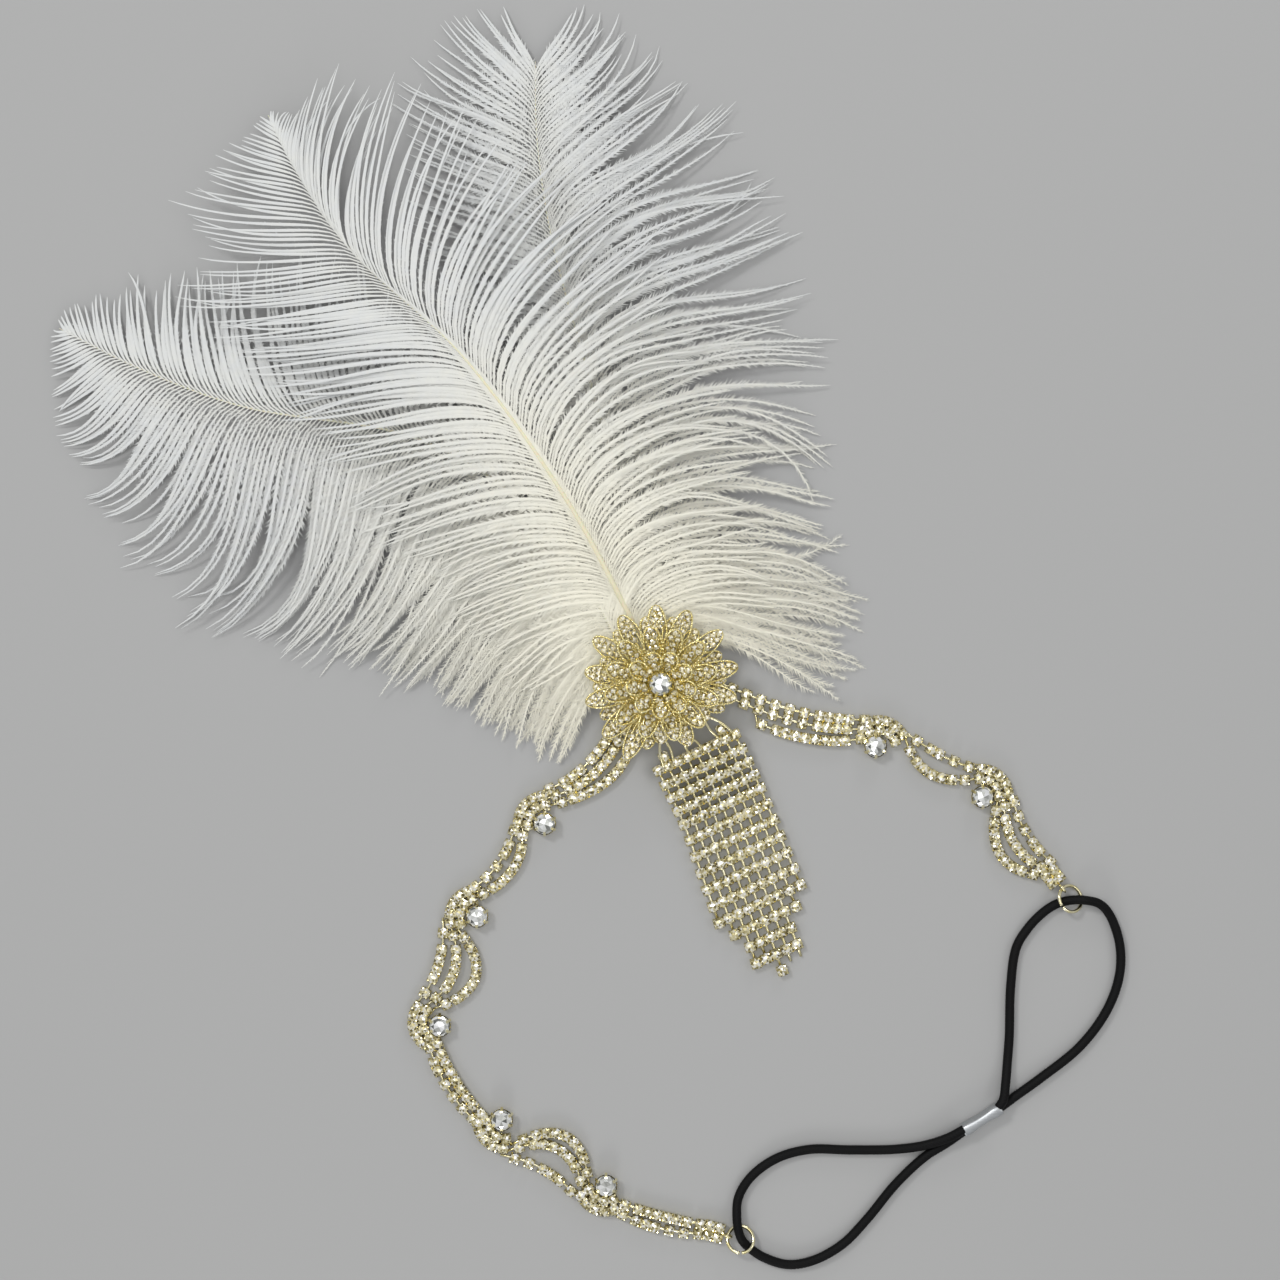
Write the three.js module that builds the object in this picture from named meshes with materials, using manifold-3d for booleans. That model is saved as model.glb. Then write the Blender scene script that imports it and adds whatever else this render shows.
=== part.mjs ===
// A feather headpiece lying face up on a table: three ostrich plumes behind a stone-set flower brooch,
// a tassel of stone strands, a scalloped band of stone chain on each side, two jump rings and an elastic.
// Millimetres, +Z up. The origin is the middle of the brooch's back plate, on the table.
import * as THREE from "three";
import { mergeVertices } from "three/addons/utils/BufferGeometryUtils.js";
import Module from "manifold-3d";

const wasm = await Module();
wasm.setup();

// Sizes shared by several pieces
const gap = 0.3; // clearance between neighbouring pieces
const rowWidth = 2.8; // a row of small stones in their cups, across
const rowSides = 8; // sides of a row's section
const rowStep = 8; // length of row between two sections
const quillRadius = 1.1;
const tipRadius = 0.45; // shaft at the plume's tip
const lockRidge = 1.2; // height of a lock's ridge over its edges
const lockFill = 0.43; // half the share of the shaft that one lock takes up
const lockSlimness = 0.2; // greatest half width of a lock, as a share of its length

const white = new THREE.MeshStandardMaterial({ color: "#f3f1e9", roughness: 0.8, metalness: 0 });
const gold = new THREE.MeshStandardMaterial({ color: "#d8bd78", roughness: 0.25, metalness: 1 });
const crystal = new THREE.MeshStandardMaterial({ color: "#e6ebf0", roughness: 0.05, metalness: 0 });
const black = new THREE.MeshStandardMaterial({ color: "#141415", roughness: 0.7, metalness: 0 });
const silver = new THREE.MeshStandardMaterial({ color: "#c3c5c7", roughness: 0.35, metalness: 1 });

const headpiece = new THREE.Group();

function add(name, geometry, material) {
  const mesh = new THREE.Mesh(geometry, material);
  mesh.name = name;
  headpiece.add(mesh);
  return mesh;
}

function table(columns, rows) {
  return rows.map((row) => Object.fromEntries(columns.map((column, i) => [column, row[i]])));
}

// A row of a table worked out between its neighbours, by the column "at"
function rowBetween(rows, at) {
  const past = rows.findIndex((row) => row.at >= at);
  const next = past < 0 ? rows.length - 1 : Math.max(1, past);
  const low = rows[next - 1];
  const high = rows[next];
  const share = (at - low.at) / (high.at - low.at);
  const mixed = Object.keys(low).map((key) => [key, THREE.MathUtils.lerp(low[key], high[key], share)]);
  return Object.fromEntries(mixed);
}

function pointAt(angle, radius, z) {
  return new THREE.Vector3(radius * Math.cos(angle), radius * Math.sin(angle), z);
}

// A closed solid from a geometry, with shared corners merged and collapsed triangles left out
function solid(geometry) {
  const bare = new THREE.BufferGeometry();
  bare.setAttribute("position", geometry.getAttribute("position"));
  bare.setIndex(geometry.getIndex());
  const merged = mergeVertices(bare, 1e-4);
  const index = merged.getIndex().array;
  const corners = [];
  for (let i = 0; i < index.length; i += 3) {
    const [a, b, c] = [index[i], index[i + 1], index[i + 2]];
    if (a !== b && b !== c && c !== a) {
      corners.push(a, b, c);
    }
  }
  const vertProperties = Float32Array.from(merged.getAttribute("position").array);
  const triVerts = Uint32Array.from(corners);
  return new wasm.Manifold(new wasm.Mesh({ numProp: 3, vertProperties, triVerts }));
}

// Geometries joined into one body, less the ones that are cut away
function fused(geometries, cuts = []) {
  let body = solid(geometries[0]);
  for (const geometry of geometries.slice(1)) {
    body = body.add(solid(geometry));
  }
  for (const geometry of cuts) {
    body = body.subtract(solid(geometry));
  }
  const mesh = body.getMesh();
  const joined = new THREE.BufferGeometry();
  joined.setAttribute("position", new THREE.BufferAttribute(mesh.vertProperties, 3));
  joined.setIndex(new THREE.BufferAttribute(mesh.triVerts, 1));
  joined.computeVertexNormals();
  return joined;
}

// A closed skin over rings of points, each ring with the same number of points
function loft(rings) {
  const sides = rings[0].length;
  const index = [];
  for (let i = 0; i + 1 < rings.length; i += 1) {
    for (let j = 0; j < sides; j += 1) {
      const a = i * sides + j;
      const b = i * sides + ((j + 1) % sides);
      index.push(a, b, b + sides, a, b + sides, a + sides);
    }
  }
  const last = (rings.length - 1) * sides;
  for (let j = 1; j + 1 < sides; j += 1) {
    index.push(0, j + 1, j, last, last + j, last + j + 1);
  }
  const skin = new THREE.BufferGeometry();
  skin.setFromPoints(rings.flat());
  skin.setIndex(index);
  return skin;
}

function roundSection(radius, sides) {
  const corners = [];
  for (let i = 0; i < sides; i += 1) {
    const angle = (2 * Math.PI * (i + 0.5)) / sides;
    corners.push(new THREE.Vector2(radius * Math.cos(angle), radius * Math.sin(angle)));
  }
  return new THREE.Shape(corners);
}

function tube(curve, radius, sides, steps) {
  const settings = { steps, extrudePath: curve, bevelEnabled: false };
  return new THREE.ExtrudeGeometry(roundSection(radius, sides), settings);
}

// A turned solid about Z, from its profile of radius and height
function turned(profile, sides) {
  return new THREE.LatheGeometry(
    profile.map(([radius, height]) => new THREE.Vector2(radius, height)),
    sides,
  ).rotateX(Math.PI / 2);
}

// Plumes. Shafts run from the quill end to the tip.
const shaftColumns = ["x", "y", "z"];
const barbColumns = ["at", "length", "root", "middle", "end", "tipHeight"];
// A barb's heading turns through root, middle and end, in degrees off the shaft's heading to the tip
const plumes = {
  plume_left: {
    shaft: table(shaftColumns, [
      [-9, 6, 2.6],
      [-24, 33, 5.2],
      [-41, 54, 6.4],
      [-72, 72.6, 6.4],
      [-124.8, 82.5, 5],
      [-155.4, 93.9, 3.6],
      [-179.5, 106, 2.2],
    ]),
    sides: [
      {
        turn: 1,
        locks: 14,
        barbs: table(barbColumns, [
          [0.09, 44, 85, 105, 112, 1],
          [0.3, 70, 78, 92, 72, 1],
          [0.5, 72, 72, 82, 32, 1],
          [0.75, 46, 50, 68, 35, 1],
          [0.92, 22, 42, 50, 42, 1],
          [0.985, 5, 28, 26, 22, 1.4],
        ]),
      },
      {
        turn: -1,
        locks: 10,
        barbs: table(barbColumns, [
          [0.3, 46, 45, 60, 72, 5],
          [0.55, 54, 55, 72, 80, 3],
          [0.75, 40, 45, 62, 70, 2],
          [0.9, 21, 40, 50, 55, 1.4],
          [0.985, 5, 26, 26, 26, 1.4],
        ]),
      },
    ],
  },
  plume_middle: {
    shaft: table(shaftColumns, [
      [-4, 10, 2.6],
      [-26.5, 52.4, 9.4],
      [-58.6, 96.9, 11.4],
      [-90.4, 127, 10],
      [-109.2, 154.3, 7],
      [-116.6, 169, 4.7],
    ]),
    sides: [
      {
        turn: 1,
        locks: 11,
        barbs: table(barbColumns, [
          [0.25, 60, 62, 74, 78, 9.5],
          [0.4, 66, 52, 62, 62, 9.5],
          [0.62, 62, 62, 45, 32, 8.5],
          [0.8, 44, 62, 45, 33, 6],
          [0.93, 17, 45, 40, 35, 4],
          [0.985, 5, 30, 28, 25, 3.8],
        ]),
      },
      {
        turn: -1,
        locks: 13,
        barbs: table(barbColumns, [
          [0.15, 56, 72, 100, 118, 8],
          [0.35, 72, 58, 88, 106, 9],
          [0.62, 63, 46, 62, 76, 8.5],
          [0.8, 46, 30, 45, 62, 6],
          [0.93, 16, 30, 40, 48, 4],
          [0.985, 5, 22, 25, 30, 3.8],
        ]),
      },
    ],
  },
  plume_right: {
    shaft: table(shaftColumns, [
      [2, 12, 2.6],
      [-11, 54.5, 3.2],
      [-22.8, 96.9, 3.8],
      [-32.4, 133.2, 3.6],
      [-36.7, 161.9, 2.8],
      [-37.3, 185.8, 2],
    ]),
    sides: [
      {
        turn: 1,
        locks: 10,
        barbs: table(barbColumns, [
          [0.3, 36, 55, 65, 65, 1.4],
          [0.68, 50, 60, 52, 40, 1],
          [0.85, 46, 60, 52, 42, 1],
          [0.95, 30, 48, 42, 34, 1],
          [0.985, 17, 34, 24, 15, 1.2],
        ]),
      },
      {
        turn: -1,
        locks: 14,
        barbs: table(barbColumns, [
          [0.1, 54, 92, 112, 122, 1],
          [0.4, 72, 70, 98, 110, 1],
          [0.68, 72, 62, 78, 82, 1],
          [0.85, 57, 55, 62, 70, 1],
          [0.95, 32, 52, 47, 42, 1],
          [0.985, 17, 34, 22, 15, 1.2],
        ]),
      },
    ],
  },
};
const shaftSections = 9;
const shaftSides = 6;
// A lock is narrow where it leaves the shaft, full along its middle, and ends in a point
const lockSections = table(["at", "width", "ridge"], [
  [0, 0.15, 0.4],
  [0.2, 0.85, 1],
  [0.45, 1, 0.9],
  [0.75, 0.7, 0.7],
  [1, 0.05, 0.2],
]);
const lockBends = 20; // short straight steps that a lock's curve is worked out in
const lockCamber = 0.02; // rise of a lock above the line from root to tip, as a share of its length

function plumeShaft(curve) {
  const rings = [];
  for (let i = 0; i < shaftSections; i += 1) {
    const at = i / (shaftSections - 1);
    const radius = THREE.MathUtils.lerp(quillRadius, tipRadius, at);
    const centre = curve.getPointAt(at);
    const along = curve.getTangentAt(at);
    const across = new THREE.Vector3(-along.y, along.x, 0).normalize();
    const up = new THREE.Vector3().crossVectors(along, across);
    const ring = [];
    for (let j = 0; j < shaftSides; j += 1) {
      const angle = (2 * Math.PI * j) / shaftSides;
      const point = centre.clone();
      point.addScaledVector(across, radius * Math.cos(angle));
      point.addScaledVector(up, radius * Math.sin(angle));
      ring.push(point);
    }
    rings.push(ring);
  }
  return loft(rings);
}

function lockHeading(barb, share) {
  const back = 1 - share;
  const degrees = back * back * barb.root + 2 * share * back * barb.middle + share * share * barb.end;
  return THREE.MathUtils.degToRad(degrees);
}

function plumeLock(curve, side, barb, width) {
  const root = curve.getPointAt(barb.at);
  const along = curve.getTangentAt(barb.at);
  const shaftHeading = Math.atan2(along.y, along.x);
  const place = root.clone();
  const rings = [];
  for (let i = 0; i <= lockBends; i += 1) {
    const share = i / lockBends;
    const heading = shaftHeading + side.turn * lockHeading(barb, share);
    const section = lockSections.find((row) => Math.abs(row.at - share) < 0.5 / lockBends);
    const camber = lockCamber * barb.length * Math.sin(Math.PI * share);
    place.z = THREE.MathUtils.lerp(root.z, barb.tipHeight, share * share) + camber;
    if (section) {
      const half = width * section.width;
      const across = new THREE.Vector3(-half * Math.sin(heading), half * Math.cos(heading), 0);
      const up = new THREE.Vector3(0, 0, lockRidge * section.ridge);
      rings.push([place.clone().add(across), place.clone().add(up), place.clone().sub(across)]);
    }
    place.x += (Math.cos(heading) * barb.length) / lockBends;
    place.y += (Math.sin(heading) * barb.length) / lockBends;
  }
  return loft(rings);
}

function plumeLocks(curve, side) {
  const first = side.barbs[0].at;
  const last = side.barbs[side.barbs.length - 1].at;
  const spacing = (last - first) / (side.locks - 1);
  const locks = [];
  for (let i = 0; i < side.locks; i += 1) {
    const barb = rowBetween(side.barbs, first + i * spacing);
    const room = spacing * curve.getLength() * Math.sin(lockHeading(barb, lockSections[1].at));
    const width = Math.min(lockFill * room, lockSlimness * barb.length);
    locks.push(plumeLock(curve, side, barb, width));
  }
  return locks;
}

for (const [name, plume] of Object.entries(plumes)) {
  const points = plume.shaft.map((row) => new THREE.Vector3(row.x, row.y, row.z));
  const curve = new THREE.CatmullRomCurve3(points);
  const locks = plume.sides.flatMap((side) => plumeLocks(curve, side));
  add(name, fused([plumeShaft(curve), ...locks]), white);
}

// Brooch: a back plate with a post, three layers of pierced petals and the centre stone
const plateRadius = 15;
const plateThickness = 1.2;
const postRadius = 3.5;
const postTop = 6.5;
const petalThickness = 0.9;
const petalRim = 1.05; // width of the metal round a petal's opening
const petalWidest = 0.6; // place of a petal's greatest width along it
const petalSteps = 3; // straight steps in each side of a petal
const roundSides = 12;
const wireSides = 6;
const tasselBar = table(["x", "y"], [
  [-0.5, -26],
  [22.3, -15.2],
]).map((end) => new THREE.Vector2(end.x, end.y));
const tasselMiddle = tasselBar[0].clone().add(tasselBar[1]).divideScalar(2);
const tasselAngle = Math.atan2(tasselMiddle.y, tasselMiddle.x);
const hubLip = 0.2; // how far a hub reaches past the petals' roots, below and above
const petalColumns = ["name", "petals", "inner", "outer", "width", "lift", "hub", "turn", "stones"];
const petalLayers = table(petalColumns, [
  ["brooch_petals_outer", 14, 6, 22.6, 6.6, 6, 8, 0, true],
  ["brooch_petals_middle", 12, 4, 17.6, 5.6, 20, 5.6, 0.5, false],
  ["brooch_petals_inner", 9, 3, 11.6, 5, 38, 4.2, 0.25, false],
]);
// The layers are stacked on the post, each hub tall enough to hold its petals' roots
let stackTop = postTop;
for (const layer of petalLayers) {
  const lift = THREE.MathUtils.degToRad(layer.lift);
  layer.rise = Math.tan(lift);
  layer.base = stackTop + gap + hubLip;
  layer.hubTop = petalThickness / Math.cos(lift) + layer.rise * (layer.hub - layer.inner) + hubLip;
  stackTop = layer.base + layer.hubTop;
}
const petalStone = [
  [0, -1.1],
  [1.2, -1.1],
  [1.4, 0.4],
  [0.85, 1],
  [0, 1],
];
const petalStoneSides = 8;

function leaf(from, to, width) {
  const shape = new THREE.Path();
  const middle = THREE.MathUtils.lerp(from, to, petalWidest);
  shape.moveTo(from, 0);
  shape.quadraticCurveTo(middle, -width, to, 0);
  shape.quadraticCurveTo(middle, width, from, 0);
  return shape;
}

function petal(layer) {
  const point = 3 * petalRim; // metal at the two points of the leaf
  const outline = new THREE.Shape(leaf(layer.inner, layer.outer, layer.width).getPoints(petalSteps));
  outline.holes.push(leaf(layer.inner + point, layer.outer - point, layer.width - 2 * petalRim));
  const settings = { depth: petalThickness, bevelEnabled: false, curveSegments: petalSteps };
  const pieces = [new THREE.ExtrudeGeometry(outline, settings)];
  if (layer.stones) {
    const stone = turned(petalStone, petalStoneSides);
    stone.translate(layer.outer - petalRim, 0, petalThickness);
    pieces.push(stone);
  }
  return pieces;
}

for (const layer of petalLayers) {
  const hub = new THREE.CylinderGeometry(layer.hub, layer.hub, layer.hubTop + hubLip, roundSides);
  const pieces = [hub.rotateX(Math.PI / 2).translate(0, 0, (layer.hubTop - hubLip) / 2)];
  for (let i = 0; i < layer.petals; i += 1) {
    const angle = tasselAngle + (2 * Math.PI * (i + layer.turn)) / layer.petals;
    for (const piece of petal(layer)) {
      piece.translate(-layer.inner, 0, 0);
      piece.rotateY(-THREE.MathUtils.degToRad(layer.lift));
      piece.translate(layer.inner, 0, 0);
      pieces.push(piece.rotateZ(angle));
    }
  }
  add(layer.name, fused(pieces), gold).position.z = layer.base;
}

const plate = [
  [0, 0],
  [plateRadius, 0],
  [plateRadius, plateThickness],
  [postRadius, plateThickness],
  [postRadius, postTop],
  [0, postTop],
];
add("brooch_back_plate", fused([turned(plate, 2 * roundSides)]), gold);

// A round stone in its setting: radius and height, as shares of the stone's radius
const settingProfile = [
  [0, 0],
  [0.75, 0],
  [1, 0.55],
  [1, 0.85],
  [0.9, 0.9],
  [0.55, 1.25],
  [0, 1.25],
];

function roundStone(radius) {
  const profile = settingProfile.map(([across, up]) => [across * radius, up * radius]);
  return fused([turned(profile, roundSides)]);
}

const centreStoneRadius = 3.3;
const centreStone = add("brooch_centre_stone", roundStone(centreStoneRadius), crystal);
centreStone.position.z = stackTop + gap;

// Tassel: a bar hung from three petals, and nine strands that come down to the table
const barHeight = 4.4;
const hangerRadius = 0.45;
const strandStones = [11, 12, 14, 14, 15, 14, 14, 12, 11];
const closeRows = 4; // rows that lie close together under the bar
const closePitch = 4.5;
const openPitch = 5.25;
const strandStep = 12.8; // length of strand between two sections
const tasselSpread = 3.35; // distance between strands at the free ends
const tasselFoot = new THREE.Vector2(0.322, -0.947); // way that the free ends point
const tasselFirstFoot = -6.4; // place of the first strand's end across the tassel
const tableRow = (rowWidth / 2) * Math.cos(Math.PI / rowSides); // height of a row's middle above the table
const strandSettle = 0.45; // height that a strand has still to come down where its close rows end
const strandLevel = 0.05; // the same, halfway from there to its free end

const barWay = tasselBar[1].clone().sub(tasselBar[0]).normalize();
const barDown = new THREE.Vector2(barWay.y, -barWay.x);
const footAcross = new THREE.Vector2(-tasselFoot.y, tasselFoot.x);

function raised(point, z) {
  return new THREE.Vector3(point.x, point.y, z);
}

function barPoint(strand) {
  return tasselBar[0].clone().lerp(tasselBar[1], strand / (strandStones.length - 1));
}

function hanger(petalNumber) {
  const layer = petalLayers[0];
  const reach = layer.outer - 3 * petalRim;
  const height = layer.base + layer.rise * (reach - layer.inner) - 2 * gap;
  const top = pointAt(tasselAngle + (2 * Math.PI * petalNumber) / layer.petals, reach, height);
  const along = THREE.MathUtils.clamp(
    new THREE.Vector2(top.x, top.y).sub(tasselBar[0]).dot(barWay),
    0,
    tasselBar[0].distanceTo(tasselBar[1]),
  );
  const foot = raised(tasselBar[0].clone().addScaledVector(barWay, along), barHeight);
  return tube(new THREE.LineCurve3(foot, top), hangerRadius, wireSides, 1);
}

const barEnds = [tasselBar[0], tasselBar[1]].map((end, i) => {
  return raised(end.clone().addScaledVector(barWay, ((2 * i - 1) * rowWidth) / 2), barHeight);
});
const bar = tube(new THREE.LineCurve3(...barEnds), rowWidth / 2, rowSides, 1);
add("tassel_bar", fused([bar, hanger(-1), hanger(0), hanger(1)]), gold);

strandStones.forEach((stones, strand) => {
  const top = barPoint(strand).addScaledVector(barDown, rowWidth / 2 + gap);
  const close = barPoint(strand).addScaledVector(barDown, closeRows * closePitch);
  const length = closeRows * closePitch + (stones - 1 - closeRows) * openPitch;
  // The free end lies as far along the tassel as its stones reach
  const across = tasselFirstFoot + strand * tasselSpread;
  const along = close.dot(tasselFoot) + length - closeRows * closePitch + rowWidth / 2;
  const foot = footAcross.clone().multiplyScalar(across).addScaledVector(tasselFoot, along);
  const curve = new THREE.CatmullRomCurve3([
    raised(top, barHeight),
    raised(close, tableRow + strandSettle),
    raised(close.clone().lerp(foot, 0.5), tableRow + strandLevel),
    raised(foot, tableRow),
  ]);
  const steps = Math.ceil(length / strandStep);
  add(`tassel_strand_${strand + 1}`, fused([tube(curve, rowWidth / 2, rowSides, steps)]), gold);
});

// Band: stations from the brooch to the ring, with the place of each station's large stone.
// A section's rows leave their chord by sag towards the inside of the loop, furthest at a share of the chord.
const bigStoneRadius = 3.45;
const endPitch = 2.6; // between rows where they are soldered together
const clusterSize = new THREE.Vector2(11.4, 5.9);
const clusterShift = -1; // clusters lie outside the band's line, away from the large stones
const clusterHeight = 2.6;
const endClusterSize = new THREE.Vector2(6, 6);
const rowOverlap = 1.2; // length of row soldered into a cluster
const stationColumns = ["x", "y", "stoneAlong", "stoneInward"];
const rowColumns = ["sag", "at"];
const bands = [
  {
    side: "left",
    inward: 1,
    stations: table(stationColumns, [
      [-10.15, -11.97],
      [-38.5, -37.8, 0.4, 5.8],
      [-60.5, -67.6, -0.9, 6.1],
      [-71.8, -101, 2, 5.8],
      [-49.5, -136.3, -2.6, 5.8],
      [-18.9, -155.2, 0.5, 5.9],
      [16.1, -164.1],
    ]),
    // Outer row first, inner row last
    sections: [
      [[3.8, 0.6], [4.7, 0.5], [6.4, 0.35]],
      [[3, 0.5], [4.9, 0.42]],
      [[2.4, 0.5], [4.9, 0.5], [8.9, 0.45]],
      [[-2.6, 0.5], [-1.9, 0.5]],
      [[2.4, 0.5], [7.4, 0.45], [9.2, 0.47]],
      [[-1.8, 0.5], [-0.6, 0.5]],
    ].map((rows) => table(rowColumns, rows)),
    ring: { x: 24, y: -166.2, high: 270 },
  },
  {
    side: "right",
    inward: -1,
    stations: table(stationColumns, [
      [15.6, -1.6],
      [69, -14.4, -2.9, 5.8],
      [99.9, -29.4, 0.3, 5.8],
      [117.4, -57.8],
    ]),
    sections: [
      [[3.3, 0.6], [3.9, 0.6], [5.4, 0.6]],
      [[1.1, 0.5], [4.9, 0.4]],
      [[2.4, 0.5], [4.6, 0.5], [7.2, 0.55]],
    ].map((rows) => table(rowColumns, rows)),
    ring: { x: 122.6, y: -64.4, high: 215 },
  },
];
const ringRadius = 3.9;
const ringWire = 0.45;
const ringSteps = 16;
const ringHeight = 2.3;
const ringRise = 1.8; // how far one side of a ring is lifted, because the elastic passes under it there
const eyeRadius = 1.2;
const eyeWire = 0.38;

function flat(point) {
  return new THREE.Vector2(point.x, point.y);
}

function heading(from, to) {
  return flat(to).sub(flat(from)).normalize();
}

function inwardOf(band, way) {
  return new THREE.Vector2(-way.y, way.x).multiplyScalar(band.inward);
}

// The way that the band runs through a station
function stationWay(band, number) {
  const { stations } = band;
  const before = stations[Math.max(number - 1, 0)];
  const after = stations[Math.min(number + 1, stations.length - 1)];
  return heading(before, stations[number])
    .add(heading(stations[number], after))
    .normalize();
}

function bandRow(band, number, row, place, count) {
  const from = flat(band.stations[number - 1]);
  const to = flat(band.stations[number]);
  const way = heading(from, to);
  const inward = inwardOf(band, way);
  const offset = (place - (count - 1) / 2) * endPitch;
  const startMargin = number === 1 ? 0 : clusterSize.x / 2 + 2 * gap;
  const atEnd = number === band.stations.length - 1;
  const endMargin = (atEnd ? endClusterSize.x : clusterSize.x) / 2 - rowOverlap;
  const start = from.clone().addScaledVector(way, startMargin).addScaledVector(inward, offset);
  const end = to.clone().addScaledVector(way, -endMargin).addScaledVector(inward, offset);
  const bend = start.clone().lerp(end, row.at).addScaledVector(inward, 2 * row.sag);
  const points = [start, bend, end].map((point) => raised(point, tableRow));
  const curve = new THREE.QuadraticBezierCurve3(...points);
  return tube(curve, rowWidth / 2, rowSides, Math.ceil(curve.getLength() / rowStep));
}

function cluster(band, number, clearance = 0) {
  const atEnd = number === band.stations.length - 1;
  const size = atEnd ? endClusterSize : clusterSize;
  const way = atEnd ? ringWay(band) : stationWay(band, number);
  const shift = atEnd ? 0 : clusterShift;
  const centre = flat(band.stations[number]).addScaledVector(inwardOf(band, way), shift);
  const grown = 2 * clearance;
  const slab = new THREE.BoxGeometry(size.x + grown, size.y + grown, clusterHeight + grown);
  slab.rotateZ(Math.atan2(way.y, way.x));
  return slab.translate(centre.x, centre.y, clusterHeight / 2);
}

function stonePlace(band, number) {
  const station = band.stations[number];
  const way = stationWay(band, number);
  return flat(station)
    .addScaledVector(way, station.stoneAlong)
    .addScaledVector(inwardOf(band, way), station.stoneInward);
}

// From the band's end to the ring's middle
function ringWay(band) {
  return heading(band.stations[band.stations.length - 1], band.ring);
}

function stoneSeat(band, number) {
  const place = stonePlace(band, number);
  const radius = bigStoneRadius + gap;
  const seat = new THREE.CylinderGeometry(radius, radius, 4 * clusterHeight, roundSides);
  return seat.rotateX(Math.PI / 2).translate(place.x, place.y, 0);
}

// A ring's height where it passes through the eye on the band's end
function eyeHeight(band) {
  const way = ringWay(band);
  const angle = Math.atan2(-way.y, -way.x) - THREE.MathUtils.degToRad(band.ring.high);
  return ringHeight + ringRise * Math.cos(angle);
}

function eye(band) {
  const way = ringWay(band);
  const torus = new THREE.TorusGeometry(eyeRadius, eyeWire, wireSides, roundSides);
  torus.rotateX(Math.PI / 2).rotateZ(Math.atan2(way.y, way.x));
  return torus.translate(band.ring.x - way.x * ringRadius, band.ring.y - way.y * ringRadius, eyeHeight(band));
}

for (const band of bands) {
  band.sections.forEach((rows, i) => {
    const number = i + 1;
    const atEnd = number === band.stations.length - 1;
    const pieces = rows.map((row, place) => bandRow(band, number, row, place, rows.length));
    pieces.push(cluster(band, number));
    const cuts = [];
    if (atEnd) {
      pieces.push(eye(band));
    } else {
      cuts.push(stoneSeat(band, number));
    }
    if (i > 0) {
      cuts.push(stoneSeat(band, i), cluster(band, i, gap));
    }
    add(`band_${band.side}_${number}`, fused(pieces, cuts), gold);
  });

  for (let number = 1; number + 1 < band.stations.length; number += 1) {
    const place = stonePlace(band, number);
    const stone = add(`band_stone_${band.side}_${number}`, roundStone(bigStoneRadius), crystal);
    stone.position.set(place.x, place.y, 0);
  }

  const hoop = new THREE.TorusGeometry(ringRadius, ringWire, wireSides, ringSteps);
  const ring = add(`jump_ring_${band.side}`, hoop, gold);
  const high = THREE.MathUtils.degToRad(band.ring.high);
  const hinge = new THREE.Vector3(Math.sin(high), -Math.cos(high), 0);
  ring.position.set(band.ring.x, band.ring.y, ringHeight);
  ring.setRotationFromAxisAngle(hinge, Math.asin(ringRise / ringRadius));
}

// Elastic cord: two loops of one cord, each through a ring and back, gripped together by the crimp
const elasticWidth = 2.7;
const elasticSides = 8;
const elasticStep = 2.2 * elasticWidth;
const crimpEnds = table(["x", "y"], [
  [90.3, -133.6],
  [101.6, -126.6],
]).map(flat);
const crimpWidth = 3.4;
const crimpBottom = 0.35;
const crimpHeight = 4.7;
const crimpCorner = 1.1;
const crimpCornerSteps = 3;
const routeColumns = ["x", "y", "z"];
const elasticRoutes = {
  elastic_loop_right: table(routeColumns, [
    [100.8, -126.4, 3.9],
    [102.2, -124.2, 3.9],
    [103.1, -119.3, 3],
    [103.9, -113, 1.7],
    [104.5, -105.6, 1.4],
    [104.9, -91, 1.4],
    [106.6, -79.2, 1.4],
    [109.9, -73.6, 1.4],
    [114, -69.2, 1.4],
    [118.4, -66.2, 1.4],
    [122.6, -64.9, 2.1],
    [126.8, -64.7, 3.5],
    [131.2, -65.9, 2.9],
    [134.7, -69.7, 1.6],
    [137.6, -78.4, 1.4],
    [137.4, -87.8, 1.4],
    [133.6, -98.1, 1.4],
    [125.7, -108.7, 1.4],
    [113.9, -118.2, 1.4],
    [106.4, -123.6, 1.4],
    [101.4, -127.3, 1.4],
  ]),
  elastic_loop_left: table(routeColumns, [
    [90.6, -132.9, 3.9],
    [85.6, -135.6, 3.6],
    [78.6, -138.2, 2.2],
    [70, -139.5, 1.5],
    [57, -139.7, 1.4],
    [44.3, -139.6, 1.4],
    [34.5, -142.4, 1.4],
    [27, -148, 1.4],
    [23.4, -154, 1.6],
    [22.9, -159, 2.7],
    [23.3, -163, 3.2],
    [24.6, -166.6, 2.1],
    [27.2, -169.4, 1.4],
    [31.4, -172, 1.4],
    [38.4, -174, 1.4],
    [46, -172.7, 1.4],
    [54.6, -167.9, 1.4],
    [62, -160.3, 1.4],
    [70.6, -149.8, 1.4],
    [79.4, -141.6, 1.4],
    [85.8, -137.6, 1.4],
    [91.1, -133.9, 1.4],
  ]),
};

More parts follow.
